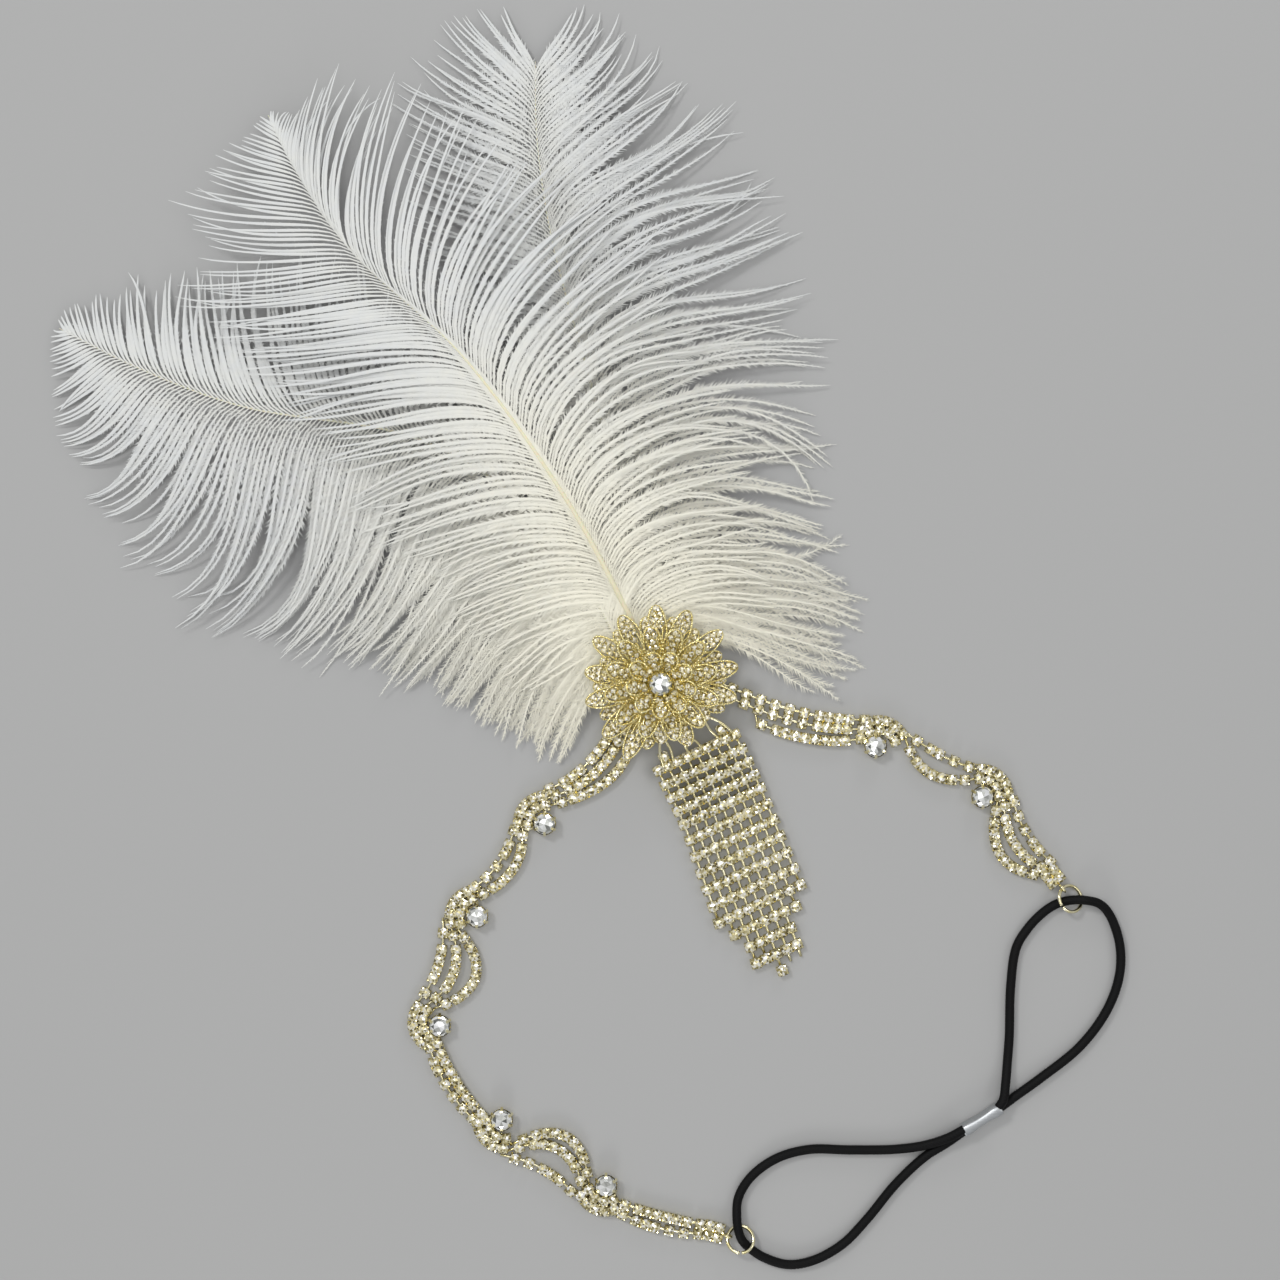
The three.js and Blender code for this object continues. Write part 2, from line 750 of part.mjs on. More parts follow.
// The crimp's section is a rectangle with round corners, flattened on the two strands that it grips
function crimpBody(clearance) {
  const side = crimpWidth / 2 - crimpCorner;
  const low = crimpBottom + crimpCorner;
  const high = crimpBottom + crimpHeight - crimpCorner;
  const corner = crimpCorner + clearance;
  const section = new THREE.Shape();
  section.absarc(side, low, corner, -Math.PI / 2, 0);
  section.absarc(side, high, corner, 0, Math.PI / 2);
  section.absarc(-side, high, corner, Math.PI / 2, Math.PI);
  section.absarc(-side, low, corner, Math.PI, 1.5 * Math.PI);
  const depth = crimpEnds[0].distanceTo(crimpEnds[1]) + 2 * clearance;
  const way = heading(crimpEnds[0], crimpEnds[1]);
  const start = crimpEnds[0].clone().addScaledVector(way, -clearance);
  const settings = { depth, bevelEnabled: false, curveSegments: crimpCornerSteps };
  const body = new THREE.ExtrudeGeometry(section, settings);
  body.rotateX(Math.PI / 2).rotateZ(Math.PI / 2 + Math.atan2(way.y, way.x));
  return body.translate(start.x, start.y, 0);
}

for (const [name, route] of Object.entries(elasticRoutes)) {
  const curve = new THREE.CatmullRomCurve3(route.map((row) => new THREE.Vector3(row.x, row.y, row.z)));
  const steps = Math.round(curve.getLength() / elasticStep);
  add(name, fused([tube(curve, elasticWidth / 2, elasticSides, steps)], [crimpBody(gap)]), black);
}
add("elastic_crimp", fused([crimpBody(0)]), silver);

export default headpiece;
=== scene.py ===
import math

import bmesh
import bpy
import numpy as np
from mathutils import Matrix, Vector


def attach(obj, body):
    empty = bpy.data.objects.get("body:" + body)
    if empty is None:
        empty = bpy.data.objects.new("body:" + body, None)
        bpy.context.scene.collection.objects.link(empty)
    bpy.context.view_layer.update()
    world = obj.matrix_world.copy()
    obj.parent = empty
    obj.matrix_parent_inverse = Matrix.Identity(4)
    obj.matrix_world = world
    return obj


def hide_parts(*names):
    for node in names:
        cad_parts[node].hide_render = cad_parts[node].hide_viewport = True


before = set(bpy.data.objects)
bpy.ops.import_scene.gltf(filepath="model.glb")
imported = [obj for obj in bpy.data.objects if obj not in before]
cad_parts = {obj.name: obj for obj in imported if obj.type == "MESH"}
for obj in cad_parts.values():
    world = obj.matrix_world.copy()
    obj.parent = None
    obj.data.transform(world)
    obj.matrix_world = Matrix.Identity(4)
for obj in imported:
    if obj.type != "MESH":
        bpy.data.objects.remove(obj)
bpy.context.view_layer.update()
print("frame loaded with", len(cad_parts), "nodes")

mm = 0.001  # every size below is in millimetres until it goes into a mesh


# Studio: the camera looks straight down on a plain floor

studio = {
    "viewCentre": (-6, 12.9),  # the point of the floor under the camera
    "viewWidth": 384,  # width of floor that the picture takes in
    "cameraHeight": 560,
    "sensor": 36,
    "floorColour": "#b2b2b1",
    "floorSize": 6000,
    "floorGap": 0.05,  # keeps the floor clear of what lies on it
    "worldColour": "#f4f5f7",
    "worldStrength": 0.49,
    # name, place, size, power in watts
    "lamps": [
        ("overhead", (-60, 60, 900), 600, 1.8),
        ("key", (-860, 800, 1240), 300, 7.5),
        ("fill", (560, -60, 560), 200, 0.35),
        ("low front", (-60, -640, 240), 140, 0.5),
        ("low back", (260, 640, 260), 140, 0.5),
    ],
}


def toLinear(hexColour):
    shares = [int(hexColour[i:i + 2], 16) / 255 for i in (1, 3, 5)]
    return [s / 12.92 if s <= 0.04045 else ((s + 0.055) / 1.055) ** 2.4 for s in shares] + [1]


def feed(material, node, inputs):
    # Links a socket to an input, or sets a plain value on it
    for name, value in inputs.items():
        if isinstance(value, bpy.types.NodeSocket):
            material.node_tree.links.new(value, node.inputs[name])
        else:
            node.inputs[name].default_value = value


def addNode(material, kind, inputs=None, stops=(), **settings):
    node = material.node_tree.nodes.new(kind)
    for name, value in settings.items():
        setattr(node, name, value)
    for k, (place, colour) in enumerate(stops):
        colours = node.color_ramp.elements
        stop = colours[k] if k < 2 else colours.new(place)
        stop.position, stop.color = place, toLinear(colour)
    feed(material, node, inputs or {})
    return node


def startMaterial(name):
    material = bpy.data.materials.new(name)
    material.use_nodes = True
    return material, material.node_tree.nodes["Principled BSDF"]


def addObject(name, data):
    piece = bpy.data.objects.new(name, data)
    bpy.context.scene.collection.objects.link(piece)
    return piece


def toMesh(bm, name):
    mesh = bpy.data.meshes.new(name)
    bm.to_mesh(mesh)
    bm.free()
    return mesh


def setUpStudio():
    camera = addObject("camera", bpy.data.cameras.new("camera"))
    camera.data.sensor_width = studio["sensor"]
    camera.data.lens = studio["sensor"] * studio["cameraHeight"] / studio["viewWidth"]
    camera.data.clip_start = 0.01
    camera.location = Vector((*studio["viewCentre"], studio["cameraHeight"])) * mm
    bpy.context.scene.camera = camera
    bpy.context.scene.view_settings.view_transform = "Standard"
    aim = Vector((*studio["viewCentre"], 0)) * mm
    for name, place, size, power in studio["lamps"]:
        lamp = bpy.data.lights.new(name, "AREA")
        lamp.size = size * mm
        lamp.energy = power
        holder = addObject(name, lamp)
        holder.location = Vector(place) * mm
        holder.rotation_euler = (aim - holder.location).to_track_quat("-Z", "Y").to_euler()
    world = bpy.data.worlds.new("studio")
    world.use_nodes = True
    background = world.node_tree.nodes["Background"]
    background.inputs["Color"].default_value = toLinear(studio["worldColour"])
    background.inputs["Strength"].default_value = studio["worldStrength"]
    bpy.context.scene.world = world
    floor = bmesh.new()
    bmesh.ops.create_grid(floor, x_segments=1, y_segments=1, size=studio["floorSize"] / 2 * mm)
    bmesh.ops.translate(floor, verts=floor.verts, vec=(0, 0, -studio["floorGap"] * mm))
    mesh = toMesh(floor, "floor")
    card, shader = startMaterial("matt studio card")
    feed(card, shader, {"Base Color": toLinear(studio["floorColour"]), "Roughness": 0.85})
    mesh.materials.append(card)
    addObject("floor", mesh)


setUpStudio()
print("camera, lamps and floor set up")


# Materials

def bleachedOstrich():
    # Bleached ostrich barbs: keratin with no pigment, so a soft dull white that turns ivory near the quill,
    # with painted light: brighter near the brooch and greyer out towards the tips
    material, shader = startMaterial("bleached ostrich keratin")
    ivoryAndPaintedLight = addNode(material, "ShaderNodeAttribute", attribute_name="ivoryAndPaintedLight")
    where = addNode(material, "ShaderNodeTexCoord")
    tuft = 3.0  # mm, width of a tuft that holds together
    mottle = addNode(material, "ShaderNodeTexNoise", {
        "Vector": where.outputs["Object"], "Scale": 1 / (tuft * mm), "Detail": 2})
    share = addNode(material, "ShaderNodeMath", {
        0: mottle.outputs["Fac"], 1: 0.3, 2: ivoryAndPaintedLight.outputs["Fac"]}, operation="MULTIPLY_ADD")
    # Painted light: the ramp runs from a greyer white out at the tips to a bright ivory near the brooch
    ramp = addNode(material, "ShaderNodeValToRGB", {"Fac": share.outputs["Value"]},
                   stops=[(0.12, "#e0e2e1"), (1, "#fcf8e5")])
    feed(material, shader, {"Base Color": ramp.outputs["Color"], "Roughness": 0.62, "IOR": 1.55,
                            "Sheen Weight": 0.25, "Sheen Roughness": 0.4})
    return material


def quillHorn():
    # Quill horn: the same keratin in a solid rod, cream yellow with a waxy gloss and fine lengthwise streaks
    material, shader = startMaterial("quill horn")
    where = addNode(material, "ShaderNodeTexCoord")
    streak = 1.2  # mm
    noise = addNode(material, "ShaderNodeTexNoise", {
        "Vector": where.outputs["Object"], "Scale": 1 / (streak * mm), "Detail": 3})
    ramp = addNode(material, "ShaderNodeValToRGB", {"Fac": noise.outputs["Fac"]},
                   stops=[(0, "#ece4bd"), (1, "#f6f1d9")])
    feed(material, shader, {"Base Color": ramp.outputs["Color"], "Roughness": 0.38, "IOR": 1.55,
                            "Subsurface Weight": 0.2, "Subsurface Scale": 0.6 * mm})
    return material


def giltBrass(name, tarnished, bright):
    # Gilt brass: stamped and cast brass with a thin pale gold plate, bright, a little tarnished in blotches
    material, shader = startMaterial(name)
    where = addNode(material, "ShaderNodeTexCoord")
    blotch = 2.2  # mm
    noise = addNode(material, "ShaderNodeTexNoise", {
        "Vector": where.outputs["Object"], "Scale": 1 / (blotch * mm), "Detail": 4})
    ramp = addNode(material, "ShaderNodeValToRGB", {"Fac": noise.outputs["Fac"]},
                   stops=[(0.3, tarnished), (0.65, bright)])
    dull = addNode(material, "ShaderNodeMapRange", {
        "Value": noise.outputs["Fac"], "From Min": 0.3, "From Max": 0.7, "To Min": 0.24, "To Max": 0.1})
    grit = 0.25  # mm, pitting left by the stamping
    pits = addNode(material, "ShaderNodeTexNoise", {
        "Vector": where.outputs["Object"], "Scale": 1 / (grit * mm), "Detail": 2})
    bump = addNode(material, "ShaderNodeBump", {
        "Height": pits.outputs["Fac"], "Strength": 0.15, "Distance": 0.05 * mm})
    feed(material, shader, {"Metallic": 1, "Base Color": ramp.outputs["Color"],
                            "Roughness": dull.outputs["Result"], "Normal": bump.outputs["Normal"]})
    return material


def foiledCrystal(name, mirror, paintedGlintShades):
    # Foil-backed crystal glass: the foil throws light back through the cut glass, so each facet is partly a
    # mirror under a hard clear surface, and each facet's colour is a painted glint, a random brightness that
    # stands in for its reflections
    material, shader = startMaterial(name)
    paintedGlint = addNode(material, "ShaderNodeAttribute", attribute_name="paintedGlint")
    # Painted reflections: each facet's colour, from dark to white, stands in for the light the cut throws
    # back
    ramp = addNode(material, "ShaderNodeValToRGB", {"Fac": paintedGlint.outputs["Fac"]},
                   stops=zip(np.linspace(0, 1, len(paintedGlintShades)), paintedGlintShades))
    feed(material, shader, {"Base Color": ramp.outputs["Color"], "Metallic": mirror, "Roughness": 0.12,
                            "Coat Weight": 1, "Coat IOR": 1.56, "Coat Roughness": 0.02})
    return material


def braidedElastic():
    # Braided elastic: black polyester yarn over rubber, dull, with painted shade: a little greyer on the
    # crowns of the braid and darker in its grooves
    material, shader = startMaterial("braided elastic")
    crown = addNode(material, "ShaderNodeAttribute", attribute_name="crown")
    # Painted shade: the ramp darkens the grooves between the braid's ridges against their crowns
    ramp = addNode(material, "ShaderNodeValToRGB", {"Fac": crown.outputs["Fac"]},
                   stops=[(0, "#010101"), (1, "#0a0a0b")])
    where = addNode(material, "ShaderNodeTexCoord")
    yarn = 0.2  # mm, one filament of the yarn
    noise = addNode(material, "ShaderNodeTexNoise", {
        "Vector": where.outputs["Object"], "Scale": 1 / (yarn * mm), "Detail": 2})
    bump = addNode(material, "ShaderNodeBump", {
        "Height": noise.outputs["Fac"], "Strength": 0.4, "Distance": 0.05 * mm})
    feed(material, shader, {"Base Color": ramp.outputs["Color"], "Roughness": 0.62,
                            "Specular IOR Level": 0.18, "Normal": bump.outputs["Normal"]})
    return material


def pressedAluminium():
    # Pressed aluminium: soft sheet folded in a press, satin, with fine scratches along it
    material, shader = startMaterial("pressed aluminium")
    where = addNode(material, "ShaderNodeTexCoord")
    scratch = 0.35  # mm
    stretch = addNode(material, "ShaderNodeMapping", {
        "Vector": where.outputs["Object"], "Rotation": (0, 0, math.radians(-32)), "Scale": (0.08, 1, 1)})
    noise = addNode(material, "ShaderNodeTexNoise", {
        "Vector": stretch.outputs["Vector"], "Scale": 1 / (scratch * mm), "Detail": 3})
    ramp = addNode(material, "ShaderNodeValToRGB", {"Fac": noise.outputs["Fac"]},
                   stops=[(0, "#aaaeb1"), (1, "#d8dadb")])
    dull = addNode(material, "ShaderNodeMapRange", {
        "Value": noise.outputs["Fac"], "To Min": 0.28, "To Max": 0.45})
    feed(material, shader, {"Metallic": 1, "Base Color": ramp.outputs["Color"],
                            "Roughness": dull.outputs["Result"]})
    return material


ostrich = bleachedOstrich()
horn = quillHorn()
gilt = giltBrass("gilt brass", "#e9d892", "#fff6c6")
chainGilt = giltBrass("pale gilt brass", "#e4d79c", "#fcf5d2")
# The colour lists are painted glints, dark to white, that stand in for the reflections in each facet
crystal = foiledCrystal("gold-foiled crystal glass", 0.5,
                        ["#5f542c", "#b0a36a", "#e2d8a8", "#faf4da", "#ffffff"])
petalCrystal = foiledCrystal("bright foiled crystal glass", 0.22,
                             ["#4a3f1a", "#b5a35c", "#f4e6ae", "#fff7d6", "#ffffff"])
clearCrystal = foiledCrystal("silver-foiled crystal glass", 0.5,
                             ["#565752", "#a9aaa4", "#dedfda", "#f8f9f6", "#ffffff"])
elasticYarn = braidedElastic()
aluminium = pressedAluminium()
print("materials made")


# Shared ways of making meshes

def addPiece(name, mesh, material, nodes=()):
    mesh.materials.clear()
    mesh.materials.append(material)
    piece = addObject(name, mesh)
    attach(piece, "root")
    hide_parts(*nodes)
    return piece


def travel(route):
    # How far along a route each of its points is
    return np.concatenate([[0], np.cumsum(np.linalg.norm(np.diff(route, axis=0), axis=1))])


def pointsAlong(route, distances):
    return np.column_stack([np.interp(distances, travel(route), route[:, axis]) for axis in range(3)])


def smoothRoute(points, step):
    # A smooth curve through the points, cut into even steps
    points = np.asarray(points, float)
    held = np.vstack([2 * points[0] - points[1], points, 2 * points[-1] - points[-2]])
    spans = np.linalg.norm(np.diff(held, axis=0), axis=1) ** 0.5
    slopes = np.diff(held, axis=0) / spans[:, None]
    tangents = slopes[:-1] * spans[1:, None] + slopes[1:] * spans[:-1, None]
    tangents /= (spans[:-1] + spans[1:])[:, None]
    t = np.linspace(0, 1, 20, endpoint=False)[:, None]
    stretches = []
    for i in range(len(points) - 1):
        leave, arrive = spans[i + 1] * tangents[i], spans[i + 1] * tangents[i + 1]
        stretches.append((2 * t**3 - 3 * t**2 + 1) * points[i] + (3 * t**2 - 2 * t**3) * points[i + 1]
                         + (t**3 - 2 * t**2 + t) * leave + (t**3 - t**2) * arrive)
    fine = np.vstack(stretches + [points[-1:]])
    length = travel(fine)[-1]
    return pointsAlong(fine, np.linspace(0, length, max(2, round(length / step) + 1)))


def routeLength(route):
    return np.linalg.norm(np.diff(route, axis=0), axis=1).sum()


def wireMesh(name, wires, radius, rounds=2):
    # Round wires as one mesh. A wire is its points, whether it closes on itself, and its width at each point.
    curve = bpy.data.curves.new(name, "CURVE")
    curve.dimensions = "3D"
    curve.bevel_depth = radius * mm
    curve.bevel_resolution = rounds
    curve.use_fill_caps = True
    for points, closed, widths in wires:
        spline = curve.splines.new("POLY")
        spline.points.add(len(points) - 1)
        spline.use_cyclic_u = closed
        for place, point, width in zip(spline.points, points, widths):
            place.co = (*(Vector(point) * mm), 1)
            place.radius = width
    holder = addObject(name, curve)
    bpy.context.view_layer.update()
    mesh = bpy.data.meshes.new_from_object(holder.evaluated_get(bpy.context.evaluated_depsgraph_get()))
    bpy.data.objects.remove(holder)
    bpy.data.curves.remove(curve)
    shell = bmesh.new()
    shell.from_mesh(mesh)
    bmesh.ops.remove_doubles(shell, verts=shell.verts, dist=0.001 * mm)
    bmesh.ops.recalc_face_normals(shell, faces=shell.faces)
    shell.to_mesh(mesh)
    shell.free()
    mesh.shade_smooth()
    return mesh


def wire(points, closed=False, width=1.0):
    return points, closed, np.broadcast_to(width, len(points))


def meshFromArrays(name, points, triangles, attributes, places, normals=None):
    # Many small things as one mesh, with a value and a map place for each vertex, and the way it faces
    mesh = bpy.data.meshes.new(name)
    mesh.vertices.add(len(points))
    mesh.vertices.foreach_set("co", (points * mm).ravel())
    mesh.loops.add(triangles.size)
    mesh.loops.foreach_set("vertex_index", triangles.ravel())
    mesh.polygons.add(len(triangles))
    mesh.polygons.foreach_set("loop_start", np.arange(0, triangles.size, 3))
    mesh.update(calc_edges=True)
    for attribute, values in attributes.items():
        mesh.attributes.new(attribute, "FLOAT", "POINT").data.foreach_set("value", values)
    layer = mesh.uv_layers.new(name="OFBake")
    layer.data.foreach_set("uv", places[triangles.ravel()].ravel())
    if normals is not None:
        mesh.shade_smooth()
        mesh.normals_split_custom_set_from_vertices(normals / np.linalg.norm(normals, axis=1)[:, None])
    return mesh


def tubeFaces(count, rings, sides):
    # Triangles of a number of tubes with closed ends, whose points go round ring by ring
    tube, step, side = np.meshgrid(np.arange(count), np.arange(rings - 1), np.arange(sides), indexing="ij")
    a, b = ((tube * rings + step) * sides + corner for corner in (side, (side + 1) % sides))
    wall = np.stack([a, b, b + sides, a, b + sides, a + sides], -1)
    cap = np.array([(0, k + 1, k) for k in range(1, sides - 1)])
    start = np.arange(count)[:, None, None] * rings * sides
    ends = [start + cap, start + (rings - 1) * sides + cap[:, [0, 2, 1]]]
    return np.vstack([faces.reshape(-1, 3) for faces in (wall, *ends)])


def placing(point, heading=0.0, pitch=0.0, size=1.0):
    turn = Matrix.Rotation(heading, 4, "Z") @ Matrix.Rotation(-pitch, 4, "Y")
    return Matrix.Translation(Vector(point) * mm) @ turn @ Matrix.Scale(size, 4)


def scatter(name, shape, placings):
    # Copies of one small shape as one mesh
    joined = bmesh.new()
    for matrix in placings:
        already = len(joined.verts)
        joined.from_mesh(shape)
        joined.verts.ensure_lookup_table()
        bmesh.ops.transform(joined, matrix=matrix, verts=joined.verts[already:])
    return toMesh(joined, name)


def joinMeshes(name, meshes):
    joined = bmesh.new()
    for mesh in meshes:
        joined.from_mesh(mesh)
    return toMesh(joined, name)


def finished(bm, name):
    bmesh.ops.recalc_face_normals(bm, faces=bm.faces)
    return toMesh(bm, name)


# Elastic cord: one black cord in two loops, each through a ring and back, held by the crimp

elastic = {
    "width": 2.7,
    "sides": 26,
    "step": 0.34,
    "yarns": 8,  # ridges each way round the cord
    "relief": 0.07, "sunk": 0.6,  # height of a ridge, and the share of it that lies below the cord's radius
    "pathStep": 2.0,
    "routes": {
        "elastic_loop_right": [
            (100.8, -126.4, 3.9), (102.2, -124.2, 3.9), (103.1, -119.3, 3), (103.9, -113, 1.7),
            (104.5, -105.6, 1.4), (104.9, -91, 1.4), (106.6, -79.2, 1.4), (109.9, -73.6, 1.4),
            (114, -69.2, 1.4), (118.4, -66.2, 1.4), (122.6, -64.9, 2.1), (126.8, -64.7, 3.5),
            (131.2, -65.9, 2.9), (134.7, -69.7, 1.6), (137.6, -78.4, 1.4), (137.4, -87.8, 1.4),
            (133.6, -98.1, 1.4), (125.7, -108.7, 1.4), (113.9, -118.2, 1.4), (106.4, -123.6, 1.4),
            (101.4, -127.3, 1.4),
        ],
        "elastic_loop_left": [
            (90.6, -132.9, 3.9), (85.6, -135.6, 3.6), (78.6, -138.2, 2.2), (70, -139.5, 1.5),
            (57, -139.7, 1.4), (44.3, -139.6, 1.4), (34.5, -142.4, 1.4), (27, -148, 1.4),
            (23.4, -154, 1.6), (22.9, -159, 2.7), (23.3, -163, 3.2), (24.6, -166.6, 2.1),
            (27.2, -169.4, 1.4), (31.4, -172, 1.4), (38.4, -174, 1.4), (46, -172.7, 1.4),
            (54.6, -167.9, 1.4), (62, -160.3, 1.4), (70.6, -149.8, 1.4), (79.4, -141.6, 1.4),
            (85.8, -137.6, 1.4), (91.1, -133.9, 1.4),
        ],
    },
}

crimp = {
    "ends": ((90.3, -133.6), (101.6, -126.6)),
    "width": 3.4,
    "height": 4.7,
    "bottom": 0.35,
    "corner": 1.1,
    "dent": (0.82, 0.97),  # share of the width and height left where the press squeezed it
    "pressed": (-0.32, -0.12, 0.12, 0.32),  # where the press starts and stops, as shares of the length
    "rim": 0.25,
}


def braidedTube(name, route):
    # A tube with the crossing ridges of a braid
    radius, sides = elastic["width"] / 2, elastic["sides"]
    along = np.gradient(route, axis=0)
    along /= np.linalg.norm(along, axis=1)[:, None]
    across = np.cross([0, 0, 1], along)
    across /= np.linalg.norm(across, axis=1)[:, None]
    up = np.cross(along, across)
    travelled = np.arange(len(route))[:, None] * elastic["step"]
    angle = 2 * np.pi * np.arange(sides)[None, :] / sides
    slant = elastic["yarns"] / radius * travelled  # yarns lie at 45 degrees
    crown = np.maximum(np.cos(elastic["yarns"] * angle + slant), np.cos(elastic["yarns"] * angle - slant))
    reach = radius + elastic["relief"] * (crown - elastic["sunk"])
    ring = np.cos(angle)[..., None] * across[:, None] + np.sin(angle)[..., None] * up[:, None]
    points = (route[:, None] + reach[..., None] * ring).reshape(-1, 3)
    around = angle / 7  # stays below 1 all the way round
    places = np.stack(np.broadcast_arrays(travelled / travelled.max(), around), -1).reshape(-1, 2)
    faces = tubeFaces(1, len(route), sides)
    # The crown height also goes to the material, which paints shade into the braid's grooves
    mesh = meshFromArrays(name, points, faces, {"crown": crown.ravel()}, places)
    mesh.shade_smooth()
    return mesh


def makeCrimp():
    start, end = (Vector((*point, 0)) for point in crimp["ends"])
    way = end - start
    bm = bmesh.new()
    bmesh.ops.create_cube(bm, size=1)
    bmesh.ops.scale(bm, vec=(way.length, crimp["width"], crimp["height"]), verts=bm.verts)
    lengthwise = [edge for edge in bm.edges if abs((edge.verts[0].co - edge.verts[1].co).x) > 1]
    bmesh.ops.bevel(bm, geom=lengthwise, offset=crimp["corner"], affect="EDGES", segments=4,
                    profile=0.5, material=-1)
    for place in crimp["pressed"]:
        bmesh.ops.bisect_plane(bm, geom=bm.verts[:] + bm.edges[:] + bm.faces[:],
                               plane_co=(place * way.length, 0, 0), plane_no=(1, 0, 0))
    pressed = [v for v in bm.verts if abs(v.co.x) < 0.2 * way.length]  # the two inner cuts
    bmesh.ops.scale(bm, vec=(1, *crimp["dent"]), verts=pressed)
    rims = [edge for edge in bm.edges if all(abs(v.co.x) > 0.499 * way.length for v in edge.verts)]
    bmesh.ops.bevel(bm, geom=rims, offset=crimp["rim"], affect="EDGES", segments=2,
                    profile=0.5, material=-1)
    heading = Matrix.Rotation(math.atan2(way.y, way.x), 3, "Z")
    bmesh.ops.rotate(bm, cent=(0, 0, 0), matrix=heading, verts=bm.verts)
    centre = (start + end) / 2 + Vector((0, 0, crimp["bottom"] + crimp["height"] / 2))
    bmesh.ops.translate(bm, vec=centre, verts=bm.verts)
    bmesh.ops.scale(bm, vec=(mm, mm, mm), verts=bm.verts)
    mesh = finished(bm, "elastic_crimp_pressed")
    mesh.shade_smooth()
    return addPiece("elastic_crimp_pressed", mesh, aluminium, ["elastic_crimp"])


crimpPiece = makeCrimp()
for node, points in elastic["routes"].items():
    route = smoothRoute(points, elastic["step"])
    name = node + "_braided"
    cordPiece = addPiece(name, braidedTube(name, route), elasticYarn, [node])
    path = smoothRoute(points, elastic["pathStep"]) * mm
    print(name, "is", round(routeLength(route), 1), "mm long")


# Plumes: a shaft with a vane of barbs on each side, every barb fringed with barbules

